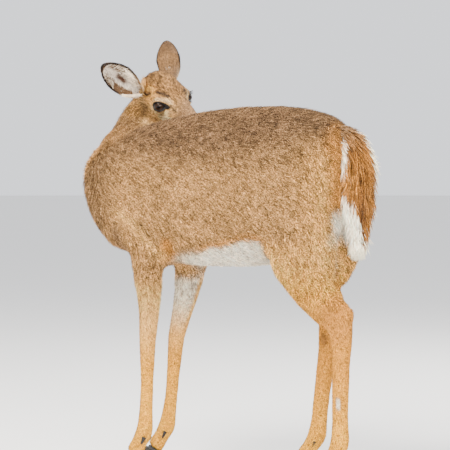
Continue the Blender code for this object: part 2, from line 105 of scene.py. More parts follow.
# %% The neck's middle line, chest to skull
def catmull(a, b, c, d, t):
    return 0.5 * (2 * b + (c - a) * t + (2 * a - 5 * b + 4 * c - d) * t ** 2
                  + (3 * b - 3 * c + d - a) * t ** 3)


neck_knots = [home + Vector(k) for k in (
    (0.008, -0.290, 0.745), (-0.006, -0.376, 0.790), (-0.086, -0.452, 0.815),
    (-0.182, -0.500, 0.835), (-0.248, -0.512, 0.900))]
neck_knots += [HEAD @ Vector((0.0, 0.084, -0.050)), HEAD @ Vector((0.0, 0.045, -0.020))]
NECK_STEPS = 8
neck_line = []
for i in range(len(neck_knots) - 1):
    four = [neck_knots[min(max(i + k, 0), len(neck_knots) - 1)] for k in (-1, 0, 1, 2)]
    neck_line += [catmull(*four, s / NECK_STEPS) for s in range(NECK_STEPS)]
neck_line = np.array([tuple(p) for p in neck_line])
neck_run = unit(np.gradient(neck_line, axis=0))
neck_length = np.linalg.norm(np.diff(neck_line, axis=0), axis=1).sum()
print("the neck's line is", round(float(neck_length), 3), "m long")


def along_neck(p):
    """Share of the neck's length at the nearest point of its line, and the run there."""
    gaps = ((p[:, None, :] - neck_line[None, :, :]) ** 2).sum(axis=2)
    near = gaps.argmin(axis=1)
    return near / (len(neck_line) - 1), neck_run[near]


# %% [markdown]
# ## One skin
# A hide is one surface without a seam.  The flesh nodes meet with thin saw gaps, and a
# boolean union would keep every facet and stumble over faces that lie in one plane.  A voxel
# remesh doesn't mind: the solids are grown by a hair's breadth so that they overlap, and it
# melts them into one skin of even quads, which also takes fine detail well.  Smoothing then
# removes the facets, much on the trunk and little on legs and head, where bone shows.  Last
# the skin sinks by the depth of the coat, so that skin and hair together fill the solids.

# %% Which solids are flesh
GROUPS = {
    "head": ["head", "muzzle", "lower_jaw"],
    "neck": ["neck_upper", "neck_middle", "neck_base"],
    "trunk": ["chest", "barrel", "haunches"],
    "fore": [f"{part}_fore_{side}" for side in ("left", "right")
             for part in ("forearm", "cannon", "pastern")],
    "hind": [f"{part}_hind_{side}" for side in ("left", "right")
             for part in ("thigh", "shank", "cannon", "pastern")],
}
FLESH = [name for names in GROUPS.values() for name in names]
print(len(FLESH), "solids of flesh")


# %% Helpers that turn a mesh into a bmesh and back
def bmesh_of(*meshes):
    """One bmesh that holds copies of the meshes."""
    bm = bmesh.new()
    for mesh in meshes:
        bm.from_mesh(mesh)
    return bm


def mesh_of(bm, name):
    """The bmesh as a mesh.  The bmesh itself is freed."""
    mesh = bpy.data.meshes.new(name)
    bm.to_mesh(mesh)
    bm.free()
    return mesh


def link(name, data):
    obj = bpy.data.objects.new(name, data)
    bpy.context.scene.collection.objects.link(obj)
    return obj


def settled(obj):
    """Replaces the mesh by what the modifiers make of it."""
    depsgraph = bpy.context.evaluated_depsgraph_get()
    mesh = bpy.data.meshes.new_from_object(obj.evaluated_get(depsgraph))
    obj.modifiers.clear()
    obj.data = mesh
    return obj


# %% Join the flesh
SKIN_VOXEL = 0.0056
OVERLAP = 0.0007                          # how far each solid grows to meet its neighbours
bm = bmesh_of(*(nodes[name].data for name in FLESH))
bmesh.ops.remove_doubles(bm, verts=bm.verts, dist=0.00001)
bm.normal_update()
for v in bm.verts:
    v.co += v.normal * OVERLAP
skin = link("skin", mesh_of(bm, "skin"))
fuse = skin.modifiers.new("fuse", "REMESH")
fuse.mode = "VOXEL"
fuse.voxel_size = SKIN_VOXEL
settled(skin)
print("the skin starts with", len(skin.data.polygons), "faces")


# %% Which part of the doe each point belongs to
def points(mesh):
    co = np.empty(len(mesh.vertices) * 3)
    mesh.vertices.foreach_get("co", co)
    return co.reshape(-1, 3)


def set_points(mesh, co):
    mesh.vertices.foreach_set("co", co.ravel())
    mesh.update()


def outward(mesh):
    normal = np.empty(len(mesh.vertices) * 3)
    mesh.vertex_normals.foreach_get("vector", normal)
    return normal.reshape(-1, 3)


def edge_ends(mesh):
    ends = np.empty(len(mesh.edges) * 2, dtype=np.int64)
    mesh.edges.foreach_get("vertices", ends)
    return ends.reshape(-1, 2)


def relaxed(values, ends, rounds, share=0.5, weight=None):
    """Moves each vertex's values towards its neighbours' mean, round after round."""
    a, b = ends[:, 0], ends[:, 1]
    count = np.maximum(np.bincount(np.concatenate((a, b)), minlength=len(values)), 1)
    for _ in range(rounds):
        mean = np.stack([np.bincount(a, values[b, k], len(values))
                         + np.bincount(b, values[a, k], len(values))
                         for k in range(values.shape[1])], axis=1) / count[:, None]
        step = share * (mean - values)
        values = values + (step if weight is None else step * weight[:, None])
    return values


def group_tree(names):
    bm = bmesh_of(*(nodes[name].data for name in names))
    tree = BVHTree.FromBMesh(bm)
    bm.free()
    return tree


trees = [group_tree(names) for names in GROUPS.values()]


def belonging(p):
    """For each point a row of weights, one for each group, 1 for the nearest."""
    gaps = np.array([[tree.find_nearest(Vector(co))[3] for tree in trees] for co in p])
    weights = np.zeros_like(gaps)
    weights[np.arange(len(p)), gaps.argmin(axis=1)] = 1.0
    return weights


# %% Smooth the facets away and sink the skin
TRUNK_ROUNDS, LIMB_ROUNDS = 60, 4
co = points(skin.data)
ends = edge_ends(skin.data)
own = relaxed(belonging(co), ends, 14)
co = relaxed(co, ends, LIMB_ROUNDS)
broad = own[:, 2] + 0.85 * own[:, 1] * ramp(own[:, 1], 0.3, 0.9)
broad = np.clip(broad + 0.8 * own[:, 4] * ramp((co - HOME)[:, 2], 0.50, 0.62), 0, 1)
co = relaxed(co, ends, TRUNK_ROUNDS, weight=broad)


def coat_depth(p, own):
    """How far the tips of the coat stand off the skin."""
    head, neck, trunk, fore, hind = own.T
    q, l = p - HOME, to_head(p)
    face = 0.0020 + 0.0022 * ramp(l[:, 1], -0.11, -0.02) + 0.002 * ramp(l[:, 1], 0.0, 0.06)
    body = (0.0100 - 0.004 * ramp(-q[:, 2], -0.62, -0.54)
            + 0.003 * ramp(-q[:, 1], 0.40, 0.46) * ramp(-q[:, 2], -0.75, -0.60))
    foreleg = 0.0022 + 0.0055 * ramp(q[:, 2], 0.36, 0.56)
    hindleg = 0.0022 + 0.0070 * ramp(q[:, 2], 0.36, 0.58)
    return head * face + neck * 0.0110 + trunk * body + fore * foreleg + hind * hindleg


set_points(skin.data, co)
normal = unit(relaxed(outward(skin.data), ends, 3))
co = co - normal * coat_depth(co, own)[:, None]
set_points(skin.data, co)
print("the skin lies", round(float(coat_depth(co, own).max()) * 1000, 1), "mm deep at most")

# %% [markdown]
# ## The face
# A deer's face is thin skin over bone: two folds over the brow, a dark slit below the eye's
# front corner, comma-shaped nostrils, a narrow bridge.  Sculpting strokes can't be repeated
# by a script, so each feature is a small function of place that presses the skin in or lifts
# it, the same on both sides.  The head needs finer faces than the trunk for that.  Its quads
# are split once, and those near the eyes, nose and mouth once more.

# %% Split the faces of the head
def refine(mesh, keep):
    """Splits the quads whose middles the test keeps."""
    bm = bmesh_of(mesh)
    middles = np.array([tuple(f.calc_center_median()) for f in bm.faces])
    chosen = keep(to_head(middles), middles)
    edges = {e for f, yes in zip(bm.faces, chosen) if yes for e in f.edges}
    bmesh.ops.subdivide_edges(bm, edges=list(edges), cuts=1, use_grid_fill=True)
    bm.to_mesh(mesh)
    bm.free()


head_tree, trunk_tree = trees[0], trees[2]


def of_head(l, p):
    near = (np.abs(l[:, 0]) < 0.075) & (l[:, 1] < 0.095) & (l[:, 1] > -0.19)
    near &= (np.abs(l[:, 2]) < 0.125)
    for i in np.nonzero(near)[0]:
        spot = Vector(p[i])
        near[i] = head_tree.find_nearest(spot)[3] < trunk_tree.find_nearest(spot)[3]
    return near


def mirrored(q):
    """The points with the right side folded on to the left."""
    return np.column_stack((np.abs(q[:, 0]), q[:, 1], q[:, 2]))


def of_features(l, p):
    eye = np.linalg.norm(mirrored(l) - (0.044, -0.006, 0.0), axis=1) < 0.032
    nose = (l[:, 1] < -0.138)
    mouth = (l[:, 1] < -0.060) & (np.abs(l[:, 2] + 0.052) < 0.010)
    return (eye | nose | mouth) & of_head(l, p)


refine(skin.data, of_head)
refine(skin.data, of_features)
co = points(skin.data)
ends = edge_ends(skin.data)
own = relaxed(belonging(co), ends, 12)
is_head = ramp(own[:, 0], 0.3, 0.9)
co = relaxed(co, ends, 4, weight=is_head)
l = to_head(co)                           # the face narrows ahead of the eyes
l[:, 0] *= 1 - (0.27 * ramp(-l[:, 1], 0.022, 0.058)
                + 0.10 * ramp(-l[:, 1], 0.010, 0.045) * ramp(-l[:, 2], -0.005, 0.030)) * is_head
co = l @ HEAD_R.T + HEAD_T
set_points(skin.data, co)
print("the skin now has", len(skin.data.polygons), "faces")


# %% Press in nostrils, mouth and folds
def from_line(l, *knots):
    """Distance from a line through knots given for the left side, on both sides."""
    p = mirrored(l)
    best = np.full(len(p), 9.0)
    for a, b in zip(knots, knots[1:]):
        a, b = np.array(a), np.array(b)
        run = b - a
        t = np.clip((p - a) @ run / (run @ run), 0, 1)
        best = np.minimum(best, np.linalg.norm(p - (a + t[:, None] * run), axis=1))
    return best


NOSTRIL = ((0.0100, -0.176, -0.036), (0.0165, -0.170, -0.031), (0.0205, -0.162, -0.030))
MOUTH = ((0.0, -0.172, -0.054), (0.018, -0.166, -0.053), (0.030, -0.140, -0.052),
         (0.033, -0.105, -0.053), (0.036, -0.080, -0.056))
TEAR_PIT = ((0.0275, -0.0340, 0.0055), (0.0240, -0.0400, 0.0010), (0.0215, -0.0500, -0.0045))
TEAR_LINE = ((0.0405, -0.0200, 0.0035), (0.0360, -0.0270, -0.0010), (0.0305, -0.0330, -0.0065))
BROW_FOLD_REAR = ((0.0435, 0.055, 0.002), (0.0440, 0.045, 0.010), (0.0435, 0.034, 0.017))
BROW_FOLD_FRONT = ((0.0405, 0.0129, 0.0295), (0.0330, -0.005, 0.0290), (0.0240, -0.0214, 0.0266))
NOSE_GROOVE = ((0.0, -0.175, -0.030), (0.0, -0.172, -0.054))


def dents(l):
    """How deep each feature presses into the skin, in metres."""
    def groove(knots, width, depth):
        return depth * np.exp(-(from_line(l, *knots) / width) ** 2)
    return (groove(NOSTRIL, 0.0034, 0.0065) + groove(MOUTH, 0.0022, 0.0030)
            + groove(TEAR_PIT, 0.0028, 0.0026) + groove(BROW_FOLD_REAR, 0.0030, 0.0024)
            + groove(BROW_FOLD_FRONT, 0.0030, 0.0024) + groove(NOSE_GROOVE, 0.0016, 0.0012))


SWELLS = (                                # place, width and height of each low mound
    ((0.022, -0.160, -0.024), 0.009, 0.0020), ((0.046, 0.020, -0.030), 0.014, 0.0016),
    ((0.012, -0.166, -0.060), 0.008, 0.0010), ((0.046, 0.010, 0.018), 0.012, 0.0014),
    ((0.024, -0.036, 0.022), 0.022, -0.0060), ((0.040, 0.062, 0.042), 0.020, 0.0040))


def swells(l):
    """How far muscle and bone lift the skin, in metres."""
    return sum(height * np.exp(-(np.linalg.norm(mirrored(l) - place, axis=1) / width) ** 2)
               for place, width, height in SWELLS)


l = to_head(co)
lift = (swells(l) - dents(l)) * is_head
co = co + outward(skin.data) * lift[:, None]
set_points(skin.data, co)
print("the nostrils are", round(float(-lift.min()) * 1000, 1), "mm deep")

# %% [markdown]
# ## Eyelids
# A deer's eye fills an almond between two lids whose dark rims stand a little proud of the
# eyeball.  A hole cut with a boolean would leave a ragged edge, and pushing the skin's own
# points about would stretch them.  So each pair of lids is modelled apart, as circles bent
# round the line of sight and bridged: from under the rim, over its edge, across the eyeball
# and down into the face, where the skin hides the last ring.

# %% Eye frames
GAZE = Vector((0.80, -0.57, 0.16))        # left eye's line of sight in the head frame


def eye_frame(side):
    """+Z along the line of sight, +X towards the nose corner, +Y up, at the eyeball."""
    gaze = Vector((GAZE.x * side, GAZE.y, GAZE.z)).normalized()
    nose = Vector((0.0, -1.0, 0.17))
    nose = (nose - gaze * nose.dot(gaze)).normalized()
    up = Vector((0.0, 0.0, 1.0))
    up = (up - gaze * up.dot(gaze) - nose * up.dot(nose)).normalized()
    turn = Matrix((nose, up, gaze)).transposed().to_4x4()
    seat = Vector((EYE_SEAT.x * side, EYE_SEAT.y, EYE_SEAT.z))
    return HEAD @ Matrix.Translation(seat) @ turn


LID_SEGMENTS = 56
ALMOND_LONG, ALMOND_UP, ALMOND_DOWN = (math.radians(a) for a in (66.0, 40.0, 36.0))
LID_RINGS = (                             # spread past the rim in degrees, height over the ball
    (-5.0, -0.0015), (-1.0, 0.0004), (1.0, 0.0016), (4.0, 0.0027), (8.0, 0.0032),
    (13.0, 0.0030), (17.0, 0.0023), (22.0, 0.0032), (28.0, 0.0036), (36.0, 0.0036),
    (46.0, 0.0030), (58.0, 0.0005))


def lids(bm, side):
    """Upper and lower lid of one eye as one ring-shaped sheet."""
    place = eye_frame(side)
    rings = []
    for spread, height in LID_RINGS:
        verts = bmesh.ops.create_circle(bm, segments=LID_SEGMENTS, radius=1.0)["verts"]
        for v in verts:
            c, s = v.co.x, v.co.y
            across = ALMOND_LONG * c
            tall = (ALMOND_UP if s > 0 else ALMOND_DOWN) * s * (1 - 0.30 * abs(c) ** 3)
            flat = Vector((across, tall))
            grown = flat.length + math.radians(spread) * (0.85 if abs(c) > 0.8 else 1.0)
            angle = min(grown, math.radians(112.0))
            way = flat.normalized()
            reach = EYE_RADIUS + height
            v.co = place @ Vector((way.x * math.sin(angle) * reach,
                                   way.y * math.sin(angle) * reach, math.cos(angle) * reach))
        rings.append(list({e for v in verts for e in v.link_edges}))
    for one, other in zip(rings, rings[1:]):
        bmesh.ops.bridge_loops(bm, edges=one + other)


bm = bmesh_of(skin.data)
skin_count = len(bm.verts)
for side in (1, -1):
    extra = bmesh.new()
    lids(extra, side)
    bmesh.ops.recalc_face_normals(extra, faces=extra.faces)
    centre = HEAD @ Vector((EYE_SEAT.x * side, EYE_SEAT.y, EYE_SEAT.z))
    face = max(extra.faces, key=lambda f: (f.calc_center_median() - centre).length)
    if face.normal.dot(face.calc_center_median() - centre) < 0:
        bmesh.ops.reverse_faces(extra, faces=extra.faces)
    mesh = mesh_of(extra, "lids")
    bm.from_mesh(mesh)
    bpy.data.meshes.remove(mesh)
bm.to_mesh(skin.data)
lid_count = len(bm.verts) - skin_count
bm.free()
skin.data.update()
print("the lids add", lid_count, "points to the skin")

# %% [markdown]
# ## Markings
# Each hair of a winter coat is banded, so the coat looks grizzled, and its colour changes
# without edges from grey-brown back to tan flank to white belly.  A painted image would need
# an unwrap without visible seams.  Functions of place need none, and skin and tufts can ask
# the same ones, so they always agree.  Every function starts from a ground colour and lays
# markings over it with soft masks, the way thin paint is glazed.

# %% Palette, in linear light
BACK = (0.215, 0.118, 0.052)
FLANK = (0.480, 0.256, 0.088)
BREAST = (0.262, 0.145, 0.064)
RUMP = (0.790, 0.402, 0.108)
RUST = (0.540, 0.225, 0.040)
THIGH = (0.880, 0.400, 0.062)
LEG = (0.670, 0.285, 0.032)
SHIN = (0.870, 0.390, 0.033)
WHITE = (0.985, 0.822, 0.630)
CROWN = (0.280, 0.140, 0.046)
UPPER = (0.840, 0.460, 0.140)
FACE = (0.580, 0.330, 0.118)
TEMPLE = (0.580, 0.270, 0.060)
PALE = (0.800, 0.570, 0.320)
# pale hair under the eye, made brighter and more orange than its own colour: painted light in part
UNDER_EYE_PALE_AND_PAINTED_LIGHT = (0.98, 0.60, 0.30)
NOSE_TOP = (0.270, 0.150, 0.068)
DARK = (0.045, 0.028, 0.018)
BLACK = (0.012, 0.010, 0.009)


def laid(colour, over, mask):
    """One colour laid over another where the mask says."""
    mask = np.clip(mask, 0, 1)[:, None]
    return colour * (1 - mask) + np.array(over) * mask


def near(v, centre, size):
    """1 at the centre of a soft ellipsoid, 0 outside it."""
    gap = np.linalg.norm((v - np.array(centre)) / np.array(size), axis=1)
    return 1 - ramp(gap, 0.55, 1.0)


def past_rim(l):
    """Radians from the lid's rim, in the frame of the nearer eye."""
    out = np.full(len(l), 9.0)
    for side in (1, -1):
        place = HEAD.inverted() @ eye_frame(side)
        turn, seat = np.array(place.to_3x3()), np.array(place.translation)
        v = (l - seat) @ turn
        gap = np.linalg.norm(v, axis=1)
        way = v[:, :2] / np.maximum(np.linalg.norm(v[:, :2], axis=1, keepdims=True), 1e-9)
        tall = np.where(way[:, 1] > 0, ALMOND_UP, ALMOND_DOWN)
        rim = 1 / np.sqrt((way[:, 0] / ALMOND_LONG) ** 2 + (way[:, 1] / tall) ** 2)
        angle = np.arccos(np.clip(v[:, 2] / np.maximum(gap, 1e-9), -1, 1))
        here = np.where(gap < 0.040, angle - rim, 9.0)
        out = np.where(np.sign(l[:, 0]) == side, here, out)
    return out


# %% Markings of the trunk
def flank_share(q):
    """0 on the back and 1 on the flanks, with a wavy border between them."""
    return 1 - ramp(q[:, 2], 0.745, 0.885 + 0.02 * np.sin(9 * q[:, 1]))


def trunk_marks(q, n):
    """Grizzled back, tan flanks, rusty rump and elbows, white belly and seat."""
    x, y, z = q.T
    out, folded = np.abs(x), mirrored(q)
    below_back = 1 - ramp(z, 0.80, 0.90)
    body = laid(np.tile(BACK, (len(q), 1)), FLANK, flank_share(q))
    body = laid(body, BREAST, 0.75 * ramp(-y, 0.36, 0.46) * below_back)
    body = laid(body, RUMP, ramp(y, 0.12, 0.26) * below_back)
    for side in (1, -1):
        body = laid(body, RUST, 0.55 * near(q, (0.07 * side, 0.285, 0.77), (0.075, 0.06, 0.15)))
    body = laid(body, RUST, 0.95 * near(folded, (0.100, -0.228, 0.578), (0.040, 0.030, 0.048)))
    edge = (0.598 + 0.012 * np.sin(31 * y + 1.0) - 1.9 * np.maximum(y - 0.055, 0)
            - 0.8 * np.maximum(-0.10 - y, 0))
    border = 1 - ramp(np.abs(z - edge - 0.006), 0.004, 0.016)
    body = laid(body, RUST, 0.55 * border * ramp(y, -0.19, -0.14))
    under = np.maximum(1 - ramp(z, edge - 0.007, edge + 0.005), ramp(-n[:, 2], 0.45, 0.8))
    body = laid(body, WHITE, under * ramp(y, -0.24, -0.17) * (1 - ramp(z, 0.62, 0.66)))
    body = laid(body, RUST, ramp(y, 0.200, 0.240) * (1 - ramp(out, 0.075, 0.10)) * 0.7)
    seat = (ramp(y, 0.215, 0.250) * (1 - ramp(out, 0.040, 0.060))
            * ramp(z, 0.55, 0.60) * (1 - ramp(z, 0.69, 0.73)))
    body = laid(body, WHITE, seat)
    body = laid(body, PALE, 0.7 * near(folded, (0.082, 0.262, 0.622), (0.030, 0.035, 0.026)))
    return laid(body, WHITE, 0.95 * near(folded, (0.070, 0.276, 0.668), (0.034, 0.045, 0.052)))


# %% Markings of the legs
SHANK_GLAND = ((0.090, 0.282, 0.204), (0.090, 0.283, 0.184))


def line_of(q, line, solid, faded):
    """1 on a drawn line, fading to 0 at a distance from it."""
    return 1 - ramp(from_line(q, *line), solid, faded)


def inner_face(q, n):
    """1 where the skin faces the other leg."""
    return ramp(-n[:, 0] * np.sign(q[:, 0]), 0.15, 0.6)


def foreleg_marks(q, n):
    """Bright shin, tan forearm, and white on its inner face."""
    z = q[:, 2]
    leg = laid(np.tile(LEG, (len(q), 1)), SHIN, 1 - ramp(z, 0.20, 0.40))
    leg = laid(leg, UPPER, ramp(z, 0.24, 0.42))
    leg = laid(leg, FLANK, ramp(z, 0.44, 0.60))
    leg = laid(leg, WHITE, 0.9 * inner_face(q, n) * ramp(z, 0.33, 0.47))
    return laid(leg, RUST, 0.35 * ramp(-n[:, 1], 0.4, 0.9) * (1 - ramp(z, 0.40, 0.50)))


def hindleg_marks(q, n):
    """Bright thigh and shin, rusty hock, and the glands: dark inside it, white below it."""
    x, y, z = q.T
    folded = mirrored(q)
    leg = laid(np.tile(THIGH, (len(q), 1)), LEG, 1 - ramp(z, 0.34, 0.46))
    leg = laid(leg, RUMP, ramp(z, 0.46, 0.58))
    leg = laid(leg, SHIN, 1 - ramp(z, 0.12, 0.30))
    leg = laid(leg, RUST, 0.75 * near(folded, (0.074, 0.28, 0.41), (0.06, 0.07, 0.09)))
    leg = laid(leg, WHITE, 0.85 * ramp(inner_face(q, n), 0.5, 1.0) * ramp(z, 0.49, 0.57)
               * (1 - ramp(y, 0.17, 0.21)))
    hock_gland = near(folded, (0.054, 0.166, 0.346), (0.020, 0.016, 0.026))
    leg = laid(laid(leg, RUST, 0.9 * hock_gland), DARK, 0.4 * hock_gland ** 2)
    leg = laid(leg, DARK, 0.35 * line_of(q, SHANK_GLAND, 0.006, 0.013))
    return laid(leg, WHITE, line_of(q, SHANK_GLAND, 0.0025, 0.007))


# %% Markings of the neck
def neck_marks(p):
    """Grizzled like the back, tan behind the cheeks, with a white throat."""
    l = to_head(p)
    share, _ = along_neck(p)
    tan = 0.45 + 0.3 * (1 - ramp((p - HOME)[:, 2], 0.80, 0.90))
    collar = laid(np.tile(BACK, (len(p), 1)), FLANK, tan)
    behind_cheek = near(np.abs(l) * (1, 1, -1), (0.050, 0.085, -0.035), (0.035, 0.045, 0.045))
    collar = laid(collar, RUMP, 0.55 * behind_cheek)
    throat = ramp((l @ np.array((0.0, -0.35, -0.94))), 0.110, 0.135) * ramp(share, 0.60, 0.80)
    return laid(collar, WHITE, 0.9 * throat * (1 - ramp(np.abs(l[:, 0]), 0.016, 0.036)))


# %% Markings of the face
def face_marks(l):
    """Colour of the face, and where it is bare: nose, nostrils and the lids' rims."""
    side, folded = np.abs(l[:, 0]), mirrored(l)
    face = laid(np.tile(CROWN, (len(l), 1)), FACE, 1 - ramp(l[:, 2], -0.010, 0.035))
    face = laid(face, TEMPLE, 0.8 * near(folded, (0.052, 0.035, 0.015), (0.030, 0.040, 0.040)))
    face = laid(face, FLANK, 0.6 * near(folded, (0.050, 0.060, -0.040), (0.040, 0.050, 0.050)))
    face = laid(face, DARK, 0.35 * near(folded, (0.057, 0.024, 0.002), (0.014, 0.016, 0.012)))
    face = laid(face, NOSE_TOP, ramp(-l[:, 1], 0.03, 0.075) * ramp(l[:, 2], -0.045, -0.010))
    rim = past_rim(l)
    ring = ramp(rim, 0.22, 0.32) * (1 - ramp(rim, 0.42, 0.70))
    face = laid(face, PALE, 0.40 * ring * ramp(l[:, 2], 0.003, 0.010))
    # A pale ring under the eye, brightened past its own colour as painted light against the shade
    # where the face turns down.
    below = ramp(rim, 0.22, 0.34) * (1 - ramp(rim, 0.80, 1.15)) * ramp(-l[:, 2], 0.004, 0.012)
    face = laid(face, UNDER_EYE_PALE_AND_PAINTED_LIGHT, 0.65 * below * (1 - ramp(l[:, 1], 0.004, 0.020)))
    face = laid(face, PALE, 0.7 * near(folded, (0.040, -0.040, -0.034), (0.020, 0.045, 0.012)))
    face = laid(face, WHITE, 0.9 * ramp(-l[:, 1], 0.118, 0.130)
                * (1 - ramp(-l[:, 1], 0.150, 0.156)))
    face = laid(face, WHITE, ramp(-l[:, 2], 0.054, 0.068) * ramp(-l[:, 1], 0.0, 0.05))
    face = laid(face, WHITE, 0.9 * ramp(-l[:, 2], 0.070, 0.090) * (1 - ramp(side, 0.014, 0.032)))
    face = laid(face, DARK, 0.9 * near(folded, (0.024, -0.140, -0.060), (0.012, 0.016, 0.008)))
    # Painted shade: the two brow folds are darkened along the grooves pressed into the skin.
    for fold, wide in ((BROW_FOLD_REAR, 0.0066), (BROW_FOLD_FRONT, 0.0068)):
        face = laid(face, DARK, 0.97 * line_of(l, fold, 0.4 * wide, wide))
    face = laid(face, DARK, 0.95 * line_of(l, TEAR_PIT, 0.0026, 0.0060))
    pad = ramp(-l[:, 1], 0.152, 0.157) * ramp(l[:, 2], -0.052, -0.048)
    dark_rim = 1 - ramp(rim, 0.13, 0.22)
    for mask in (pad, dark_rim, line_of(l, TEAR_LINE, 0.0014, 0.0036),
                 line_of(l, MOUTH, 0.0012, 0.0022)):
        face = laid(face, BLACK, mask)
    return face, np.maximum(np.maximum(pad, dark_rim), line_of(l, NOSTRIL, 0.003, 0.005))


# %% All markings together
ELBOW_STRAP = ((0.101, -0.379, 0.675), (0.106, -0.326, 0.646), (0.103, -0.275, 0.599),
               (0.090, -0.240, 0.568))
# Lines of painted shade where folds lie at the elbow, breast and flank; the surface has no fold
# there.
ELBOW_CREASE_SHADE = ((0.106, -0.312, 0.655), (0.104, -0.284, 0.626), (0.102, -0.258, 0.602))
BREAST_CREASE_SHADE = ((0.095, -0.390, 0.623), (0.078, -0.376, 0.590), (0.085, -0.345, 0.560))
FLANK_CREASE_SHADE = ((0.094, -0.198, 0.584), (0.099, -0.146, 0.593), (0.105, -0.088, 0.605))


def markings(p, n, own):
    """Colour, share of dark-tipped hairs and bareness at each point of the doe."""
    head, neck, trunk, fore, hind = own.T
    q, l = p - HOME, to_head(p)
    colour = (trunk[:, None] * trunk_marks(q, n) + fore[:, None] * foreleg_marks(q, n)
              + hind[:, None] * hindleg_marks(q, n) + neck[:, None] * neck_marks(p))
    colour = laid(colour, UPPER, 0.60 * line_of(q, ELBOW_STRAP, 0.006, 0.024))
    # Painted shade: darker bands along the elbow, breast and flank folds, in colour only.
    colour = laid(colour, DARK, 0.42 * line_of(q, ELBOW_CREASE_SHADE, 0.004, 0.011))
    colour = laid(colour, BREAST, 0.85 * line_of(q, BREAST_CREASE_SHADE, 0.008, 0.026))
    colour = laid(colour, DARK, 0.35 * line_of(q, FLANK_CREASE_SHADE, 0.003, 0.009))
    face, bare = face_marks(l)
    colour = colour + head[:, None] * face
    white = ramp(colour[:, 2] / np.maximum(colour[:, 0], 1e-3), 0.50, 0.75)
    grizzle = (trunk * (0.52 - 0.12 * flank_share(q)) + neck * 0.48
               + fore * (0.16 + 0.28 * ramp(q[:, 2], 0.34, 0.52))
               + hind * (0.16 + 0.24 * ramp(q[:, 2], 0.36, 0.54))
               + head * (0.24 + 0.26 * ramp(l[:, 2], 0.0, 0.04))) * (1 - white)
    return colour, grizzle, head * bare


# %% [markdown]
# ## The lie of the coat
# Hair runs from the nose over the skull, down the neck, back along the trunk and down the
# legs, and it turns where two streams meet.  Combing each patch by hand would take a guide
# hair for every turn.  Here each region states its own direction, the region's weights blend
# them, and the result is laid flat on the skin.  Lengths, widths and numbers are set in the
# same way: short and fine on the face and legs, long on the rump and beside the tail.

# %% Direction, length and number of the hairs
def bent(way, to, mask):
    """The way turned to another where the mask says."""
    mask = np.clip(mask, 0, 1)[:, None]
    return way * (1 - mask) + np.array(to) * mask


def beside_tail(q):
    """The long hair of the rump on both sides of the tail."""
    return near(mirrored(q), (0.045, 0.270, 0.735), (0.05, 0.06, 0.07))


def lie_of(p, n, own):
    """Which way the hair runs at each point."""
    head, neck, trunk, fore, hind = own.T
    q, l = p - HOME, to_head(p)
    x, y, z = q.T
    flat = np.abs(n[:, 0])
    back = np.stack((0 * x, 1 + 0 * x, -0.10 - 0.45 * flat), axis=1)
    back = bent(back, (0, 0.25, -1), ramp(-y, 0.38, 0.47))
    back = bent(back, (0, 0.50, -0.9), ramp(y, 0.14, 0.27))
    over_foreleg = ramp(0.14 - np.abs(y + 0.28), 0, 0.07)
    back = bent(back, (0, 0.35, -1), ramp(-z, -0.68, -0.54) * over_foreleg)
    back = bent(back, (0, 0.45, -1), ramp(-z, -0.76, -0.60) * ramp(y, 0.07, 0.15))
    down = np.tile((0.0, 0.12, -1.0), (len(p), 1))
    thigh = bent(down, (0, 0.55, -1), ramp(z, 0.44, 0.56))
    foot = 1 - ramp(z, 0.07, 0.12)
    down, thigh = bent(down, (0, -0.4, -1), foot), bent(thigh, (0, -0.4, -1), foot)
    _, run = along_neck(p)
    cheek = np.stack((0.12 * np.sign(l[:, 0]), 1 + 0 * x, 0.15 - 0.45 * (l[:, 2] < -0.03)), 1)
    foot, ear_way = ear_foot(l)
    cheek = unit(cheek) * (1 - foot)[:, None] + ear_way
    face = cheek @ HEAD_R.T
    back = bent(back, (0, 1.0, -0.75), beside_tail(q))
    return (trunk[:, None] * unit(back) + fore[:, None] * unit(down)
            + hind[:, None] * unit(thigh) - neck[:, None] * run + head[:, None] * unit(face))


EARS = {"ear_left": (Vector((0.047, 0.074, 0.025)), (0.52, 0.82, 0.25), (0.30, 0.05, -0.85)),
        "ear_right": (Vector((-0.055, 0.078, 0.008)), (-0.72, 0.17, 0.67), (-0.60, -0.70, 0.36))}


def ear_foot(l):
    """How near each point is to the foot of an ear, and the way that ear points."""
    mask, way = np.zeros(len(l)), np.zeros((len(l), 3))
    for root, tip, _ in EARS.values():
        here = near(l, root, (0.038, 0.032, 0.038))
        mask = mask + here
        way = way + here[:, None] * unit(np.array([tip]))
    return np.clip(mask, 0, 1), way


def hair_of(p, own):
    """Length, width and number per square metre of the tufts."""
    head, neck, trunk, fore, hind = own.T
    q, l = p - HOME, to_head(p)
    x, y, z = q.T
    body = (0.030 + 0.006 * ramp(y, 0.16, 0.27) - 0.010 * ramp(-z, -0.62, -0.54)
            + 0.010 * ramp(-y, 0.38, 0.46) * ramp(-z, -0.70, -0.58)
            + 0.014 * beside_tail(q))
    foreleg = 0.0075 + 0.014 * ramp(z, 0.36, 0.58)
    hindleg = 0.0080 + 0.018 * ramp(z, 0.38, 0.58)
    hock = near(mirrored(q), (0.055, 0.20, 0.40), (0.03, 0.07, 0.05))
    face = (0.0035 + 0.0045 * ramp(l[:, 1], -0.12, -0.02)
            + 0.006 * ramp(l[:, 1], 0.015, 0.07))
    face = np.where(past_rim(l) < 0.35, 0.0035, face) + 0.014 * ear_foot(l)[0]
    length = (trunk * body + neck * 0.032 + fore * foreleg
              + hind * (hindleg + 0.010 * hock) + head * face)
    width = (trunk * 0.0026 + neck * 0.0024
             + (fore + hind) * (0.0016 + 0.0008 * ramp(z, 0.42, 0.6))
             + head * (0.0009 + 0.0005 * ramp(l[:, 1], -0.03, 0.06)))
    number = (trunk * 225e3 + neck * 240e3 + (fore + hind) * (300e3 - 80e3 * ramp(z, 0.42, 0.58))
              + head * 680e3)
    return length, width, number


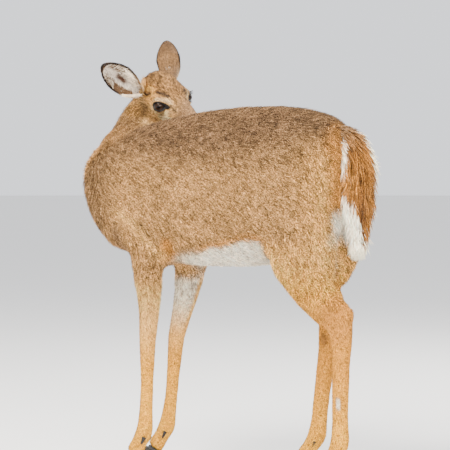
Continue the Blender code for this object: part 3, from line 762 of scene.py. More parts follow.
# %% Fields on the skin
co = points(skin.data)
ends = edge_ends(skin.data)
own = relaxed(belonging(co), ends, 10)
own /= own.sum(axis=1, keepdims=True)
normal = outward(skin.data)
even = unit(relaxed(normal, ends, 2))
colour, grizzle, bare = markings(co, normal, own)
way = relaxed(lie_of(co, even, own), ends, 6)
way = unit(way - even * (way * even).sum(axis=1, keepdims=True))
length, width, number = hair_of(co, own)
height = coat_depth(co, own) + 0.007 * own[:, 0] * ear_foot(to_head(co))[0]
number = number * (1 - ramp(bare, 0.2, 0.6))
fields = np.column_stack((co, even, way, length, width, height, number, colour, grizzle))
ROOT, UP, ALONG, TONE = slice(0, 3), slice(3, 6), slice(6, 9), slice(13, 16)
LONG, WIDE, HIGH, NUMBER, GREY = 9, 10, 11, 12, 16        # columns of the table of fields


def paint(mesh, colours, alpha):
    """Stores colour and bareness on the mesh for its material."""
    layer = mesh.color_attributes.new("coat", "FLOAT_COLOR", "POINT")
    layer.data.foreach_set("color", np.column_stack((colours, alpha)).astype(np.float32).ravel())


paint(skin.data, colour * 0.72, bare)
print("fields at", len(co), "points; mean hair", round(float(length.mean()) * 1000, 1), "mm")

# %% [markdown]
# ## Tufts
# A tuft is a bent three-sided spike that rises from the skin and lies down along the coat.
# It stands for a small lock of hairs, because a mesh of single hairs would be many times as
# large.  Thousands of tufts make one mesh.  Copying one tuft with operators would be slow,
# so the mesh is built as arrays: the same few triangles again and again.  On the bake map
# each tuft is a small patch at its root's place on an unwrap of the skin.

# %% Tuft meshes
PATCH = 0.003                             # height of a tuft's place on the bake map


def tuft_faces(spots, each, rings):
    """Corner numbers of one tuft's triangles, facing outwards."""
    around = ((0, 1), (1, 2), (2, 0))
    faces = []
    for low in range(0, 3 * (rings - 1), 3):
        for a, b in around:
            faces += [(low + a, low + b, low + 3 + b), (low + a, low + 3 + b, low + 3 + a)]
    last = 3 * (rings - 1)
    faces = np.array(faces + [(last + a, last + b, each - 1) for a, b in around])
    v0, v1, v2 = (spots[faces[-1][k]] for k in range(3))
    outer = (v0 + v1 + v2) / 3 - spots[:each].mean(axis=0)
    return faces[:, ::-1] if np.cross(v1 - v0, v2 - v0) @ outer < 0 else faces


def mesh_of_arrays(name, spots, corners):
    """A smooth mesh of triangles from rows of points and their corner numbers."""
    mesh = bpy.data.meshes.new(name)
    mesh.vertices.add(len(spots))
    mesh.vertices.foreach_set("co", spots.astype(np.float32).ravel())
    mesh.loops.add(len(corners))
    mesh.loops.foreach_set("vertex_index", corners.astype(np.int32))
    mesh.polygons.add(len(corners) // 3)
    mesh.polygons.foreach_set("loop_start", np.arange(0, len(corners), 3, dtype=np.int32))
    mesh.polygons.foreach_set("use_smooth", np.ones(len(corners) // 3, dtype=bool))
    mesh.update(calc_edges=True)
    return mesh


def tuft_mesh(name, root, up, along, long, wide, high, shades, uv, rings=2, bend=0.18, curl=0.0):
    """A joined mesh of tufts.  shades holds root, middle and tip colours."""
    count = len(root)
    across = unit(np.cross(up, along))
    sway = rng.normal(0, bend, count)[:, None]
    spots, tints, flat = [], [], []
    for f in [k / rings for k in range(rings)] + [1.0]:
        rise = high * (1 - (1 - f) ** 2.2) + curl * long * f ** 3
        line = (root + along * (long * f)[:, None] + across * sway * (long * f * f)[:, None]
                + up * (rise - 0.0012 * (f == 0))[:, None])
        tint = (shades[0] * (1 - 2 * f) + shades[1] * 2 * f if f < 0.5
                else shades[1] * (2 - 2 * f) + shades[2] * (2 * f - 1))
        if f == 1.0:
            spots.append(line)
            tints.append(tint)
            flat.append(uv + np.array((0.0, PATCH)))
            break
        half = (wide * 0.5 * (1 - 0.35 * f))[:, None]
        for shift, ridge in ((-1, 0.0), (1, 0.0), (0, 0.9)):
            spots.append(line + across * shift * half + up * ridge * half)
            tints.append(tint)
            flat.append(uv + np.array((shift * PATCH * 0.45, PATCH * f)))
    each = len(spots)
    spots, tints = (np.stack(rows, axis=1).reshape(-1, 3) for rows in (spots, tints))
    flat = np.stack(flat, axis=1).reshape(-1, 2)
    faces = tuft_faces(spots, each, rings)
    corners = (faces[None] + (np.arange(count) * each)[:, None, None]).reshape(-1)
    mesh = mesh_of_arrays(name, spots, corners)
    layer = mesh.uv_layers.new(name="OFBake")
    layer.uv.foreach_set("vector", np.clip(flat, 0, 1)[corners].astype(np.float32).ravel())
    paint(mesh, np.clip(tints, 0.003, 0.97), np.zeros(len(spots)))
    print(name, count, "tufts,", len(corners) // 3, "triangles")
    return link(name, mesh)


# %% [markdown]
# ## Growing the coat
# Roots have to be spread evenly whatever the size of the faces under them.  So each triangle
# gets roots by its area and by the number of hairs wanted there, and every root blends the
# fields of its triangle's three corners.  Neighbouring hairs share a shade, in small clumps,
# since a separate shade for each hair would average out to a flat colour.  Sparse longer
# locks lie over the rest and break its outline.  The coat is cut into regions so that no
# mesh grows too large.

# %% Roots spread over a patch of skin
def patch_of(mesh, chosen):
    """Corner numbers and unwrapped corners of the chosen faces' triangles."""
    bm = bmesh_of(mesh)
    tag = bm.verts.layers.int.new("from")
    for v in bm.verts:
        v[tag] = v.index
    bmesh.ops.delete(bm, geom=[f for f, yes in zip(bm.faces, chosen) if not yes], context="FACES")
    bmesh.ops.triangulate(bm, faces=bm.faces)
    obj = link("patch", mesh_of(bm, "patch"))
    bpy.ops.object.select_all(action="DESELECT")
    obj.select_set(True)
    bpy.context.view_layer.objects.active = obj
    bpy.ops.object.mode_set(mode="EDIT")
    bpy.ops.mesh.select_all(action="SELECT")
    bpy.ops.uv.smart_project(angle_limit=math.radians(66), island_margin=0.004)
    bpy.ops.object.mode_set(mode="OBJECT")
    piece = obj.data
    corner = np.empty(len(piece.loops), dtype=np.int64)
    piece.loops.foreach_get("vertex_index", corner)
    source = np.empty(len(piece.vertices), dtype=np.int32)
    piece.attributes["from"].data.foreach_get("value", source)
    uv = np.empty(len(piece.loops) * 2, dtype=np.float32)
    piece.uv_layers[0].uv.foreach_get("vector", uv)
    bpy.data.objects.remove(obj)
    return source[corner].reshape(-1, 3), uv.reshape(-1, 3, 2)


def roots_on(corners, uvs, fields):
    """Scatters roots evenly and blends the fields of their triangle's corners."""
    a, b, c = (fields[corners[:, k], ROOT] for k in range(3))
    area = np.linalg.norm(np.cross(b - a, c - a), axis=1) / 2
    want = area * fields[corners, NUMBER].mean(axis=1)
    times = (want + rng.random(len(want))).astype(int)
    face = np.repeat(np.arange(len(times)), times)
    r, s = rng.random(len(face)), rng.random(len(face))
    over = r + s > 1
    r, s = np.where(over, 1 - r, r), np.where(over, 1 - s, s)
    share = np.stack((1 - r - s, r, s), axis=1)
    return ((fields[corners[face]] * share[:, :, None]).sum(axis=1),
            (uvs[face] * share[:, :, None]).sum(axis=1))


def clumps(p, size):
    """A random number for each small lump of space, so that neighbouring hairs share a shade."""
    wobble = 0.35 * np.sin(p[:, [1, 2, 0]] * 2.1 / size)
    cells = np.floor(p / size + wobble).astype(np.int64)
    key = (cells[:, 0] * 73856093) ^ (cells[:, 1] * 19349663) ^ (cells[:, 2] * 83492791)
    return np.sin((key % 100003) * 12.9898) * 1.2


def grow(name, chosen, cell, rings=1, thin=1.0, scale=1.0, speck=1.0):
    """The coat of one region of the skin; thin and scale make sparse, longer locks."""
    table = fields.copy()
    table[:, NUMBER] *= thin
    if scale > 1:
        table[:, LONG] *= scale ** 0.5
        table[:, WIDE] *= scale
        table[:, HIGH] *= 1.12
    rooted, uv = roots_on(*patch_of(skin.data, chosen), table)
    root, up, along = rooted[:, ROOT], unit(rooted[:, UP]), unit(rooted[:, ALONG])
    long, wide, high, tone, grey = (rooted[:, k] for k in (LONG, WIDE, HIGH, TONE, GREY))
    count = len(root)
    x, y, z = root.T
    swirl = 0.05 * np.sin(23 * y + 11 * z) + 0.05 * np.sin(41 * z - 17 * x + 9 * y)
    swirl = swirl + rng.normal(0, 0.11, count)
    across = np.cross(up, along)
    along = unit(along * np.cos(swirl)[:, None] + across * np.sin(swirl)[:, None])
    long = long * rng.uniform(0.72, 1.15, count)
    lump = clumps(root + along * (0.8 * long)[:, None], cell)
    bright = np.exp(rng.normal(0, 0.08, count) + speck * (0.14 + 0.40 * grey) * lump
                    - (0.45 if scale > 1 else 0.0))
    drift = 0.05 * np.sin(37 * x + 29 * y) + 0.05 * np.sin(53 * z + 19 * y)
    tone = tone * (bright * (1 + drift))[:, None]
    dark_tip = lump + rng.normal(0, 0.6, count) < -1.2 * np.cos(math.pi * grey)
    tip = tone * np.where(dark_tip, 0.35, 1.12)[:, None]
    shades = (tone * 0.38, tone * np.where(dark_tip, 0.85, 1.05)[:, None], tip)
    wide = wide * rng.uniform(0.7, 1.2, count)
    high = high * rng.uniform(0.55, 1.0, count)
    return tuft_mesh(name, root, up, along, long, wide, high, shades, uv, rings)


# %% The regions of the coat
SHOULDER_END, SIDE_END, THIGH_FOOT = -0.13, 0.09, 0.44
bm = bmesh_of(skin.data)
mid = np.array([tuple(f.calc_center_median()) for f in bm.faces])
first = np.array([f.verts[0].index for f in bm.faces])
bm.free()
group = own[first].argmax(axis=1)         # head, neck, trunk, forelegs, hind legs
mx, my, mz = (mid - HOME).T
trunk, thigh = group == 2, (group == 4) & (mz > THIGH_FOOT)
REGIONS = {"coat_head": group == 0, "coat_neck": group == 1}
for label, area in (("shoulder", trunk & (my < SHOULDER_END)),
                    ("side", trunk & (my >= SHOULDER_END) & (my < SIDE_END)),
                    ("rump", (trunk & (my >= SIDE_END)) | thigh)):
    REGIONS[f"coat_{label}_left"] = area & (mx >= 0)
    REGIONS[f"coat_{label}_right"] = area & (mx < 0)
REGIONS["coat_forelegs"] = group == 3
REGIONS["coat_hindlegs"] = (group == 4) & ~thigh

coats = []
for name, chosen in REGIONS.items():
    cell, speck = (0.0032, 2.0) if name == "coat_head" else (0.0046, 1.0)
    coats.append(grow(name, chosen, cell, speck=speck))
locks_on = trunk | thigh | (group == 1)
coats.append(grow("coat_locks", locks_on, cell=0.009, rings=2, thin=0.035, scale=1.15))
print(len(coats), "pieces of coat on the skin")

# %% [markdown]
# ## Tail
# The tail is a short bony core under long hair, which makes most of its width: brown above
# with a darker middle, white below, and white where the lower hair spreads past the edges.
# The frame's solid is as wide as the hair, so tufts on it would stand too far out.  The core
# is a thinner loft of squashed rings along a smooth line, and the hair leaves it at a low
# angle and fans out.

# %% The tail's core
TAIL_TURN = math.radians(-25.0)
TAIL_ACROSS = np.array((math.cos(TAIL_TURN), math.sin(TAIL_TURN), 0.0))
TAIL_OUT = np.array((-math.sin(TAIL_TURN), math.cos(TAIL_TURN), 0.0))
TAIL_LINE = np.array([                    # doe's frame, then half width and half thickness
    (0.0, 0.225, 0.880, 0.016, 0.014), (0.0, 0.262, 0.861, 0.024, 0.016),
    (0.003, 0.286, 0.813, 0.029, 0.014), (0.007, 0.293, 0.750, 0.027, 0.012),
    (0.009, 0.295, 0.690, 0.020, 0.010), (0.007, 0.293, 0.640, 0.012, 0.007),
    (0.006, 0.291, 0.612, 0.005, 0.003)])
TAIL_SEGMENTS = 20


def along_tail(t):
    """Rows of TAIL_LINE at shares t of its length, on a smooth curve."""
    place = np.clip(t, 0, 1) * (len(TAIL_LINE) - 1)
    k = np.minimum(place.astype(int), len(TAIL_LINE) - 2)
    f = (place - k)[:, None]
    rows = [TAIL_LINE[np.clip(k + step, 0, len(TAIL_LINE) - 1)] for step in (-1, 0, 1, 2)]
    return catmull(*rows, f)


def tail_point(t, angle):
    """Place, outward normal and downward direction on the tail's core."""
    row, ahead = along_tail(t), along_tail(t + 0.02)
    run = unit(ahead[:, :3] - along_tail(t - 0.02)[:, :3])
    across = np.tile(TAIL_ACROSS, (len(t), 1))
    out = unit(np.cross(across, run))
    out = out * np.sign((out * TAIL_OUT).sum(axis=1, keepdims=True))
    c, s = np.cos(angle)[:, None], np.sin(angle)[:, None]
    wide, thick = row[:, 3:4], row[:, 4:5]
    spot = HOME + row[:, :3] + across * c * wide + out * s * thick
    return spot, unit(across * c / wide + out * s / thick), run


def tail_colour(t, c, s):
    """Brown above with a darker middle, white below, at the edges and at the end."""
    above = ramp(s, -0.05, 0.25)
    brown = laid(np.tile((0.300, 0.118, 0.020), (len(t), 1)), (0.130, 0.050, 0.012),
                 (1 - ramp(np.abs(c), 0.10, 0.55)) * ramp(t, 0.30, 0.60))
    brown = laid(brown, BACK, 1 - ramp(t, 0.05, 0.25))
    start = np.where(c > 0, 0.89 + 0.11 * ramp(t, 0.26, 0.34) - 1.15 * ramp(t, 0.46, 0.80),
                     0.76 + 0.22 * ramp(t, 0.28, 0.44))
    side = ramp(np.abs(c) - start, 0.0, 0.12) * ramp(t + 0.06 * (c < 0), 0.10, 0.18)
    parting = ramp(t, 0.30, 0.36) * (1 - ramp(t, 0.42, 0.50)) * ramp(c, 0.20, 0.60)
    tone = laid(laid(brown, WHITE, 1 - above), WHITE, side)
    return laid(laid(tone, RUST, 0.9 * parting), WHITE, ramp(t, 0.84, 0.92))


bm = bmesh.new()
rings = []
for t in np.linspace(0, 1, 22):
    verts = bmesh.ops.create_circle(bm, segments=TAIL_SEGMENTS, radius=1.0)["verts"]
    angle = np.array([math.atan2(v.co.y, v.co.x) for v in verts])
    spots, _, _ = tail_point(np.full(len(angle), t), angle)
    for v, spot in zip(verts, spots):
        v.co = spot
    rings.append(list({e for v in verts for e in v.link_edges}))
for one, other in zip(rings, rings[1:]):
    bmesh.ops.bridge_loops(bm, edges=one + other)
bmesh.ops.holes_fill(bm, edges=[e for e in bm.edges if e.is_boundary], sides=0)
bmesh.ops.recalc_face_normals(bm, faces=bm.faces)
tail_core = link("tail_core", mesh_of(bm, "tail_core"))
tail_core.data.shade_smooth()
co = points(tail_core.data) - HOME
under = ramp(-(co - TAIL_LINE[3, :3]) @ TAIL_OUT, 0.0, 0.01)
paint(tail_core.data, laid(np.tile((0.2, 0.10, 0.04), (len(co), 1)), WHITE, under) * 0.7,
      np.zeros(len(co)))
print("the tail's core has", len(tail_core.data.polygons), "faces")

# %% Hair of the tail
TAIL_TUFTS, END_TUFTS = 5200, 700
t = np.concatenate((rng.beta(1.15, 1.0, TAIL_TUFTS - END_TUFTS),
                    rng.uniform(0.86, 1.0, END_TUFTS)))
angle = rng.uniform(-math.pi, math.pi, TAIL_TUFTS)
angle = np.where(rng.random(TAIL_TUFTS) < 0.24, rng.normal(0, 0.22, TAIL_TUFTS)
                 + math.pi * (rng.random(TAIL_TUFTS) < 0.5), angle)
spot, up, run = tail_point(t, angle)
c, s = np.cos(angle), np.sin(angle)
fan = 0.36 * c * np.where(c > 0, 0.7 - 1.5 * ramp(t, 0.42, 0.88), 0.8 - 0.5 * ramp(t, 0.45, 0.80))
fan = fan + rng.normal(0, 0.07, TAIL_TUFTS)
along = unit(run + TAIL_ACROSS * fan[:, None])
up = unit(up - along * (up * along).sum(axis=1, keepdims=True))
long = (0.052 + 0.016 * rng.random(TAIL_TUFTS)) * (0.50 + 0.5 * ramp(t, 0.0, 0.3))
long = np.where(np.abs(c) > 0.8, long * 1.12, long) * (1 - 0.12 * ramp(t, 0.85, 1.0))
tone = tail_colour(t, c, s) * np.exp(rng.normal(0, 0.13, TAIL_TUFTS))[:, None]
dark = (rng.random(TAIL_TUFTS) < 0.30) & (tone[:, 2] < 0.3)
tone = tone * np.where(dark, 0.35, 1.0)[:, None]
white_end = ramp(t, 0.80, 0.88) * (rng.random(TAIL_TUFTS) < 0.55)
tone = laid(tone, WHITE, white_end)
tip = laid(tone * 1.15, (0.10, 0.05, 0.02), 0.8 * (rng.random(TAIL_TUFTS) < 0.30)
           * (tone[:, 2] < 0.3))
coats.append(tuft_mesh(
    "coat_tail", spot, up, along, long, rng.uniform(0.0022, 0.0044, TAIL_TUFTS),
    rng.uniform(0.004, 0.013, TAIL_TUFTS), (tone * 0.6, tone, tip),
    np.column_stack(((angle + math.pi) / (2 * math.pi), t * 0.97)), rings=4, bend=0.12))
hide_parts("tail")

# %% [markdown]
# ## Ears
# Each ear is a leaf of cartilage, rolled to a tube at its root and open above.  A leaf bent
# by modifiers is hard to aim, so a grid is laid straight on to a formula for the rolled
# surface, and Solidify gives it a wall.  The two ears point different ways and each has its
# own frame.  Short grizzled hair covers the back, the rim is nearly black, and long white
# hair grows from both edges over the brown hollow.

# %% Ear shells
EAR_LENGTH, EAR_HALF_ARC, EAR_WALL = 0.150, 0.0480, 0.0026
LEFT_EAR_SLIM = 0.86                      # its edges are held closer together
EAR_RIM = (0.012, 0.007, 0.005)


def ear_frame(root, tip, mouth):
    """+Z runs to the ear's tip and its mouth opens to -Y."""
    along = Vector(tip).normalized()
    back = -(Vector(mouth) - along * along.dot(Vector(mouth))).normalized()
    turn = Matrix((back.cross(along), back, along)).transposed().to_4x4()
    return HEAD @ Matrix.Translation(root) @ turn


def ear_leaf(place, u, t):
    """Points of the ear's middle surface for u across (-1 to 1) and t along (0 to 1)."""
    outline = (0.80 + 0.20 * np.minimum(t / 0.35, 1)) * np.sqrt(np.maximum(1 - t ** 3.2, 0))
    arc = EAR_HALF_ARC * np.maximum(outline, 0.06)
    curl = np.radians(150 - 98 * np.minimum(t / 0.55, 1) ** 0.8)
    radius = arc / curl
    wave = 0.0012 * np.sin(9 * t + 2 * u) * np.abs(u) ** 3
    depth = radius * (np.cos(u * curl) - 0.4) - 0.012 * np.sin(math.pi * t) + wave
    local = np.column_stack((radius * np.sin(u * curl), depth,
                             EAR_LENGTH * t * (1 - 0.05 * np.abs(u) ** 3)))
    return local @ np.array(place.to_3x3()).T + np.array(place.translation)


def ear_slopes(place, u, t):
    """Across and along directions, and the normal on the back of the ear."""
    small = 0.004
    across = unit(ear_leaf(place, u + small, t) - ear_leaf(place, u - small, t))
    along = unit(ear_leaf(place, u, np.minimum(t + small, 0.999)) - ear_leaf(place, u, t - small))
    normal = unit(np.cross(across, along))
    back = np.array(place.to_3x3() @ Vector((0, 1, 0)))
    centre, beside, beyond = (ear_leaf(place, np.array([a]), np.array([b]))
                              for a, b in ((0.0, 0.50), (0.01, 0.50), (0.0, 0.51)))
    sign = np.sign(np.cross(unit(beside - centre), unit(beyond - centre)) @ back)[0]
    return across, along, normal * sign


def ear_colour(u, t, inside):
    """Grizzled back with a near-black rim; brown hollow with pale edges inside."""
    edge = np.maximum(np.abs(u), ramp(t, 0.80, 1.0))
    outer = laid(np.tile((0.165, 0.085, 0.033), (len(u), 1)), (0.070, 0.035, 0.016),
                 0.6 * ramp(t, 0.45, 0.95))
    rim_dark = ramp(t, 0.22, 0.50)
    outer = laid(outer, PALE, 0.45 * ramp(np.abs(u), 0.55, 0.95) * (1 - ramp(t, 0.10, 0.40)))
    outer = laid(outer, EAR_RIM, ramp(edge, 0.76, 0.88) * rim_dark)
    spot = (1 - ramp(np.abs(u), 0.06, 0.26)) * ramp(t, 0.26, 0.38) * (1 - ramp(t, 0.50, 0.62))
    hollow = laid(np.tile((0.62, 0.52, 0.43), (len(u), 1)), (0.055, 0.024, 0.013), spot)
    lower = near(np.column_stack((u, t, 0 * t)), (-0.66, 0.30, 0), (0.34, 0.30, 1))
    hollow = laid(hollow, (0.19, 0.10, 0.04), 0.9 * lower)
    hollow = laid(hollow, (0.27, 0.155, 0.070), ramp(u, 0.66, 0.78) * 0.9)
    border = ramp(np.maximum(np.abs(u), ramp(t, 0.62, 1.0)), 0.70, 0.80)
    hollow = laid(hollow, (0.17, 0.09, 0.04), border)
    hollow = laid(hollow, EAR_RIM, ramp(edge + 0.08 * ramp(t, 0.6, 0.9), 0.82, 0.89) * rim_dark)
    return np.where(inside[:, None] > 0.5, hollow, outer)


def ear_piece(name, root, tip, mouth):
    """The leaf with its wall, painted by side."""
    slim = LEFT_EAR_SLIM if name == "ear_left" else 1.0
    place = ear_frame(root, tip, mouth) @ Matrix.Diagonal((slim, 1.0, 1.0, 1.0))
    bm = bmesh.new()
    across_t = bm.verts.layers.float.new("u")
    along_t = bm.verts.layers.float.new("t")
    grid = bmesh.ops.create_grid(bm, x_segments=28, y_segments=36, size=1.0)["verts"]
    u = np.array([v.co.x for v in grid])
    t = 1 - (1 - (np.array([v.co.y for v in grid]) + 1) / 2) ** 1.25
    for v, spot, a, b in zip(grid, ear_leaf(place, u, t), u, t):
        v.co, v[across_t], v[along_t] = spot, a, b
    ear = link(name + "_shell", mesh_of(bm, name + "_shell"))
    wall = ear.modifiers.new("wall", "SOLIDIFY")
    wall.thickness, wall.offset = EAR_WALL, 0.0
    settled(ear)
    bm = bmesh_of(ear.data)
    bmesh.ops.recalc_face_normals(bm, faces=bm.faces)
    bm.to_mesh(ear.data)
    bm.free()
    values = []
    for key in ("u", "t"):
        got = np.empty(len(ear.data.vertices), dtype=np.float32)
        ear.data.attributes[key].data.foreach_get("value", got)
        values.append(got.astype(float))
    u, t = values
    _, _, back = ear_slopes(place, u * 0.98, np.clip(t, 0.01, 0.99))
    inside = ((outward(ear.data) * back).sum(axis=1) < 0).astype(float)
    paint(ear.data, ear_colour(u, t, inside) * 0.85, inside * 0)
    ear.data.shade_smooth()
    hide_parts(name)
    print(ear.name, "has", len(ear.data.polygons), "faces")
    return ear, place


# %% Hair of the ears
BACK_TUFTS, EDGE_TUFTS, FOOT_TUFTS = 8200, 1500, 420


def ear_hair(place, u, t, inside, out):
    """Roots, normals and directions of ear hair; out turns it away from the middle line."""
    t = np.clip(t, 0.01, 0.985)
    spot = ear_leaf(place, u, t)
    across, along, back = ear_slopes(place, u * 0.97, t)
    up = back * np.where(inside > 0.5, -1, 1)[:, None]
    way = unit(along + across * (np.sign(u) * out)[:, None])
    way = unit(way - up * (way * up).sum(axis=1, keepdims=True) + up * (0.34 * inside)[:, None])
    uv = np.column_stack((0.25 + u * 0.24 + 0.5 * inside, t * 0.97 + 0.01))
    return spot + up * EAR_WALL * 0.5, up, way, uv


ears = []
for name, (root, tip, mouth) in EARS.items():
    ear, place = ear_piece(name, root, tip, mouth)
    ears.append(ear)
    count = BACK_TUFTS                    # short hair on both faces
    u, t = rng.uniform(-0.98, 0.98, count), rng.uniform(0.0, 0.985, count)
    inside = (rng.random(count) < 0.42).astype(float)
    spot, up, way, uv = ear_hair(place, u, t, inside, rng.normal(0.15, 0.15, count))
    tone = ear_colour(u, t, inside) * np.exp(0.46 * clumps(spot, 0.0034))[:, None]
    long = 0.0085 * rng.uniform(0.7, 1.15, count) * (1 - 0.35 * ramp(t, 0.6, 1.0))
    long = np.where(t * EAR_LENGTH + long > EAR_LENGTH, 0.003, long)
    coats.append(tuft_mesh(f"coat_{name}", spot, up, way, long,
                           rng.uniform(0.0009, 0.0016, count), np.full(count, 0.0011),
                           (tone * 0.6, tone, tone * 1.2), uv, rings=1))
    count = EDGE_TUFTS                    # long hair from the edges over the hollow
    u = np.sign(rng.uniform(-1, 1, count)) * rng.uniform(0.50, 0.93, count)
    t = rng.beta(1.0, 1.35, count) * 0.76 + 0.08
    spot, up, way, uv = ear_hair(place, u, t, np.ones(count), -rng.uniform(0.25, 0.85, count))
    tone = np.tile(WHITE, (count, 1)) * rng.uniform(0.70, 1.05, count)[:, None]
    brown = rng.random(count) < (0.22 + 0.40 * ramp(t, 0.42, 0.60)
                                 + 0.75 * ramp(-u, 0.45, 0.60) * (t < 0.50))
    tone = laid(tone, (0.11, 0.06, 0.03), brown * 1.0)
    long = (0.014 + 0.012 * (1 - t)) * rng.uniform(0.7, 1.2, count) * np.where(u < -0.45, 0.6, 1)
    coats.append(tuft_mesh(f"coat_{name}_inner", spot, up, way, long,
                           rng.uniform(0.0009, 0.0018, count), rng.uniform(0.002, 0.006, count),
                           (tone * 0.75, tone, tone), uv, rings=2, bend=0.25))
    count = FOOT_TUFTS                    # white hair at the foot of the lower edge
    lower = -1 if name == "ear_right" else 1
    u, t = lower * rng.uniform(0.80, 0.97, count), rng.uniform(0.03, 0.34, count)
    spot, up, way, uv = ear_hair(place, u, t, np.ones(count), rng.uniform(1.4, 3.4, count))
    tone = np.tile(WHITE, (count, 1)) * rng.uniform(0.75, 1.05, count)[:, None]
    coats.append(tuft_mesh(f"coat_{name}_foot", spot, up, way, rng.uniform(0.014, 0.034, count),
                           rng.uniform(0.0012, 0.0022, count), rng.uniform(0.001, 0.004, count),
                           (tone * 0.75, tone, tone), uv, rings=2, bend=0.25))

# %% [markdown]
# ## Eyes
# The eye is large, wet and nearly black: a dark brown iris round an oval pupil that lies
# level.  A separate glass shell would double each surface for a depth that can't be seen
# here, so one ball carries painted rings and bulges a little where the cornea covers it.
# Lashes are tufts too, a single row on the upper lid, where they are longest.

# %% Eyeballs
CORNEA_RISE = 0.0008
eyes = []
for name, side in (("left", 1), ("right", -1)):
    place = eye_frame(side)
    bm = bmesh.new()
    bmesh.ops.create_uvsphere(bm, u_segments=64, v_segments=48, radius=EYE_RADIUS)
    local = np.array([tuple(v.co) for v in bm.verts])
    angle = np.arccos(np.clip(local[:, 2] / EYE_RADIUS, -1, 1))
    rise = 1 + CORNEA_RISE / EYE_RADIUS * (1 - ramp(angle, math.radians(12), math.radians(36)))
    for v, grown in zip(bm.verts, local * rise[:, None]):
        v.co = place @ Vector(grown)
    eye = link(f"eyeball_{name}", mesh_of(bm, f"eyeball_{name}"))
    x, y = local[:, 0] / EYE_RADIUS, local[:, 1] / EYE_RADIUS
    pupil = 1 - ramp(np.hypot(x / 0.34, y / 0.20), 0.85, 1.05)
    iris = 1 - ramp(np.hypot(x, y), 0.60, 0.74)
    tone = laid(np.tile((0.012, 0.008, 0.006), (len(local), 1)), (0.026, 0.011, 0.005), iris)
    paint(eye.data, laid(tone, (0.003, 0.003, 0.004), pupil), np.zeros(len(local)))
    eye.data.shade_smooth()
    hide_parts(f"eye_{name}")
    eyes.append(eye)
print("each eyeball is", round(2000 * EYE_RADIUS, 1), "mm across")

# %% Lashes
LASHES = 46                               # on each upper lid
roots, ups, ways = [], [], []
for side in (1, -1):
    place = eye_frame(side)
    turn = place.to_3x3()
    for share in np.linspace(-0.80, 0.70, LASHES):
        flat = Vector((ALMOND_LONG * share, ALMOND_UP * math.sqrt(1 - share ** 2)))
        angle = flat.length + math.radians(2.5)
        way = flat.normalized()
        out = Vector((way.x * math.sin(angle), way.y * math.sin(angle), math.cos(angle)))
        roots.append(place @ (out * (EYE_RADIUS + 0.0020)))
        along = Vector((0.25 * share, 0.55, 1.0)) + Vector(rng.normal(0, 0.10, 3))
        ways.append((turn @ along).normalized())
        ups.append((turn @ Vector((way.x, way.y, -0.3))).normalized())
roots, ups, ways = (np.array([tuple(v) for v in rows]) for rows in (roots, ups, ways))
ups = unit(ups - ways * (ups * ways).sum(axis=1, keepdims=True))
count = len(roots)
black = np.tile(BLACK, (count, 1))
lashes = tuft_mesh("lashes", roots, ups, ways, rng.uniform(0.007, 0.011, count),
                   np.full(count, 0.0007), np.full(count, -0.0012), (black, black, black),
                   np.column_stack((np.linspace(0.02, 0.97, count), np.full(count, 0.5))),
                   rings=3, curl=-0.25)

# %% [markdown]
# ## Hooves
# Each foot stands on two horn claws, with two dewclaws behind and above them.  Their solids
# have the right size and stance already, but horn has no flat sides or sharp edges.  A bevel
# would round only the edges.  So a copy of each solid is merged, its flat facets are
# dissolved and a subdivision surface rounds it, and creased edges keep the sole flat.

# %% Horn claws
SOLE_HEIGHT = 0.002
horn_pieces = []
for node in sorted(nodes):
    if not node.startswith(("hoof_", "dewclaw_")):
        continue
    bm = bmesh_of(nodes[node].data)
    crease = bm.edges.layers.float.new("crease_edge")
    bmesh.ops.remove_doubles(bm, verts=bm.verts, dist=0.00002)
    bmesh.ops.dissolve_limit(bm, angle_limit=math.radians(4), verts=bm.verts, edges=bm.edges)
    for edge in bm.edges:
        if len(edge.link_faces) == 2 and edge.calc_face_angle(0) > math.radians(50):
            edge[crease] = 0.92 if max(v.co.z for v in edge.verts) < SOLE_HEIGHT else 0.45
    claw = link(node + "_horn", mesh_of(bm, node + "_horn"))
    rounding = claw.modifiers.new("rounding", "SUBSURF")
    rounding.levels = rounding.render_levels = 3
    settled(claw)
    claw.data.shade_smooth()
    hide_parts(node)
    horn_pieces.append(claw)
print(len(horn_pieces), "claws and dewclaws of horn")

# %% [markdown]
# ## Finishes
# The painted colour of skin and tufts passes through one node group, which adds a fine noise
# of light and dark hairs.  It works on brown hair and hardly touches white.  One group
# with its own values in each material keeps coat, skin and ears alike, where four copies
# would drift apart.  Bare black skin at the nose and lids is smooth and wet, and hair is
# rough and dry.  The specular values don't change over a surface, so they sit on the shaders.

# %% Node group for painted hair and skin
streak = bpy.data.node_groups.new("streaked coat", "ShaderNodeTree")
for label, kind, way in (("Painted", "Color", "INPUT"), ("Bare", "Float", "INPUT"),
                         ("Scale", "Float", "INPUT"), ("Depth", "Float", "INPUT"),
                         ("Grain", "Float", "INPUT"), ("Color", "Color", "OUTPUT"),
                         ("Roughness", "Float", "OUTPUT"), ("Height", "Float", "OUTPUT")):
    streak.interface.new_socket(name=label, in_out=way, socket_type="NodeSocket" + kind)


def node_of(tree, kind, place, **values):
    """A node with its unlinked inputs set by name."""
    made = tree.nodes.new(kind)
    made.location = place
    for key, value in values.items():
        if hasattr(made, key):
            setattr(made, key, value)
        else:
            made.inputs[key.replace("_", " ")].default_value = value
    return made


def join(tree, *pairs):
    """Links pairs of (node, output) and (node, input)."""
    for (a, out), (b, into) in pairs:
        tree.links.new(a.outputs[out], b.inputs[into])


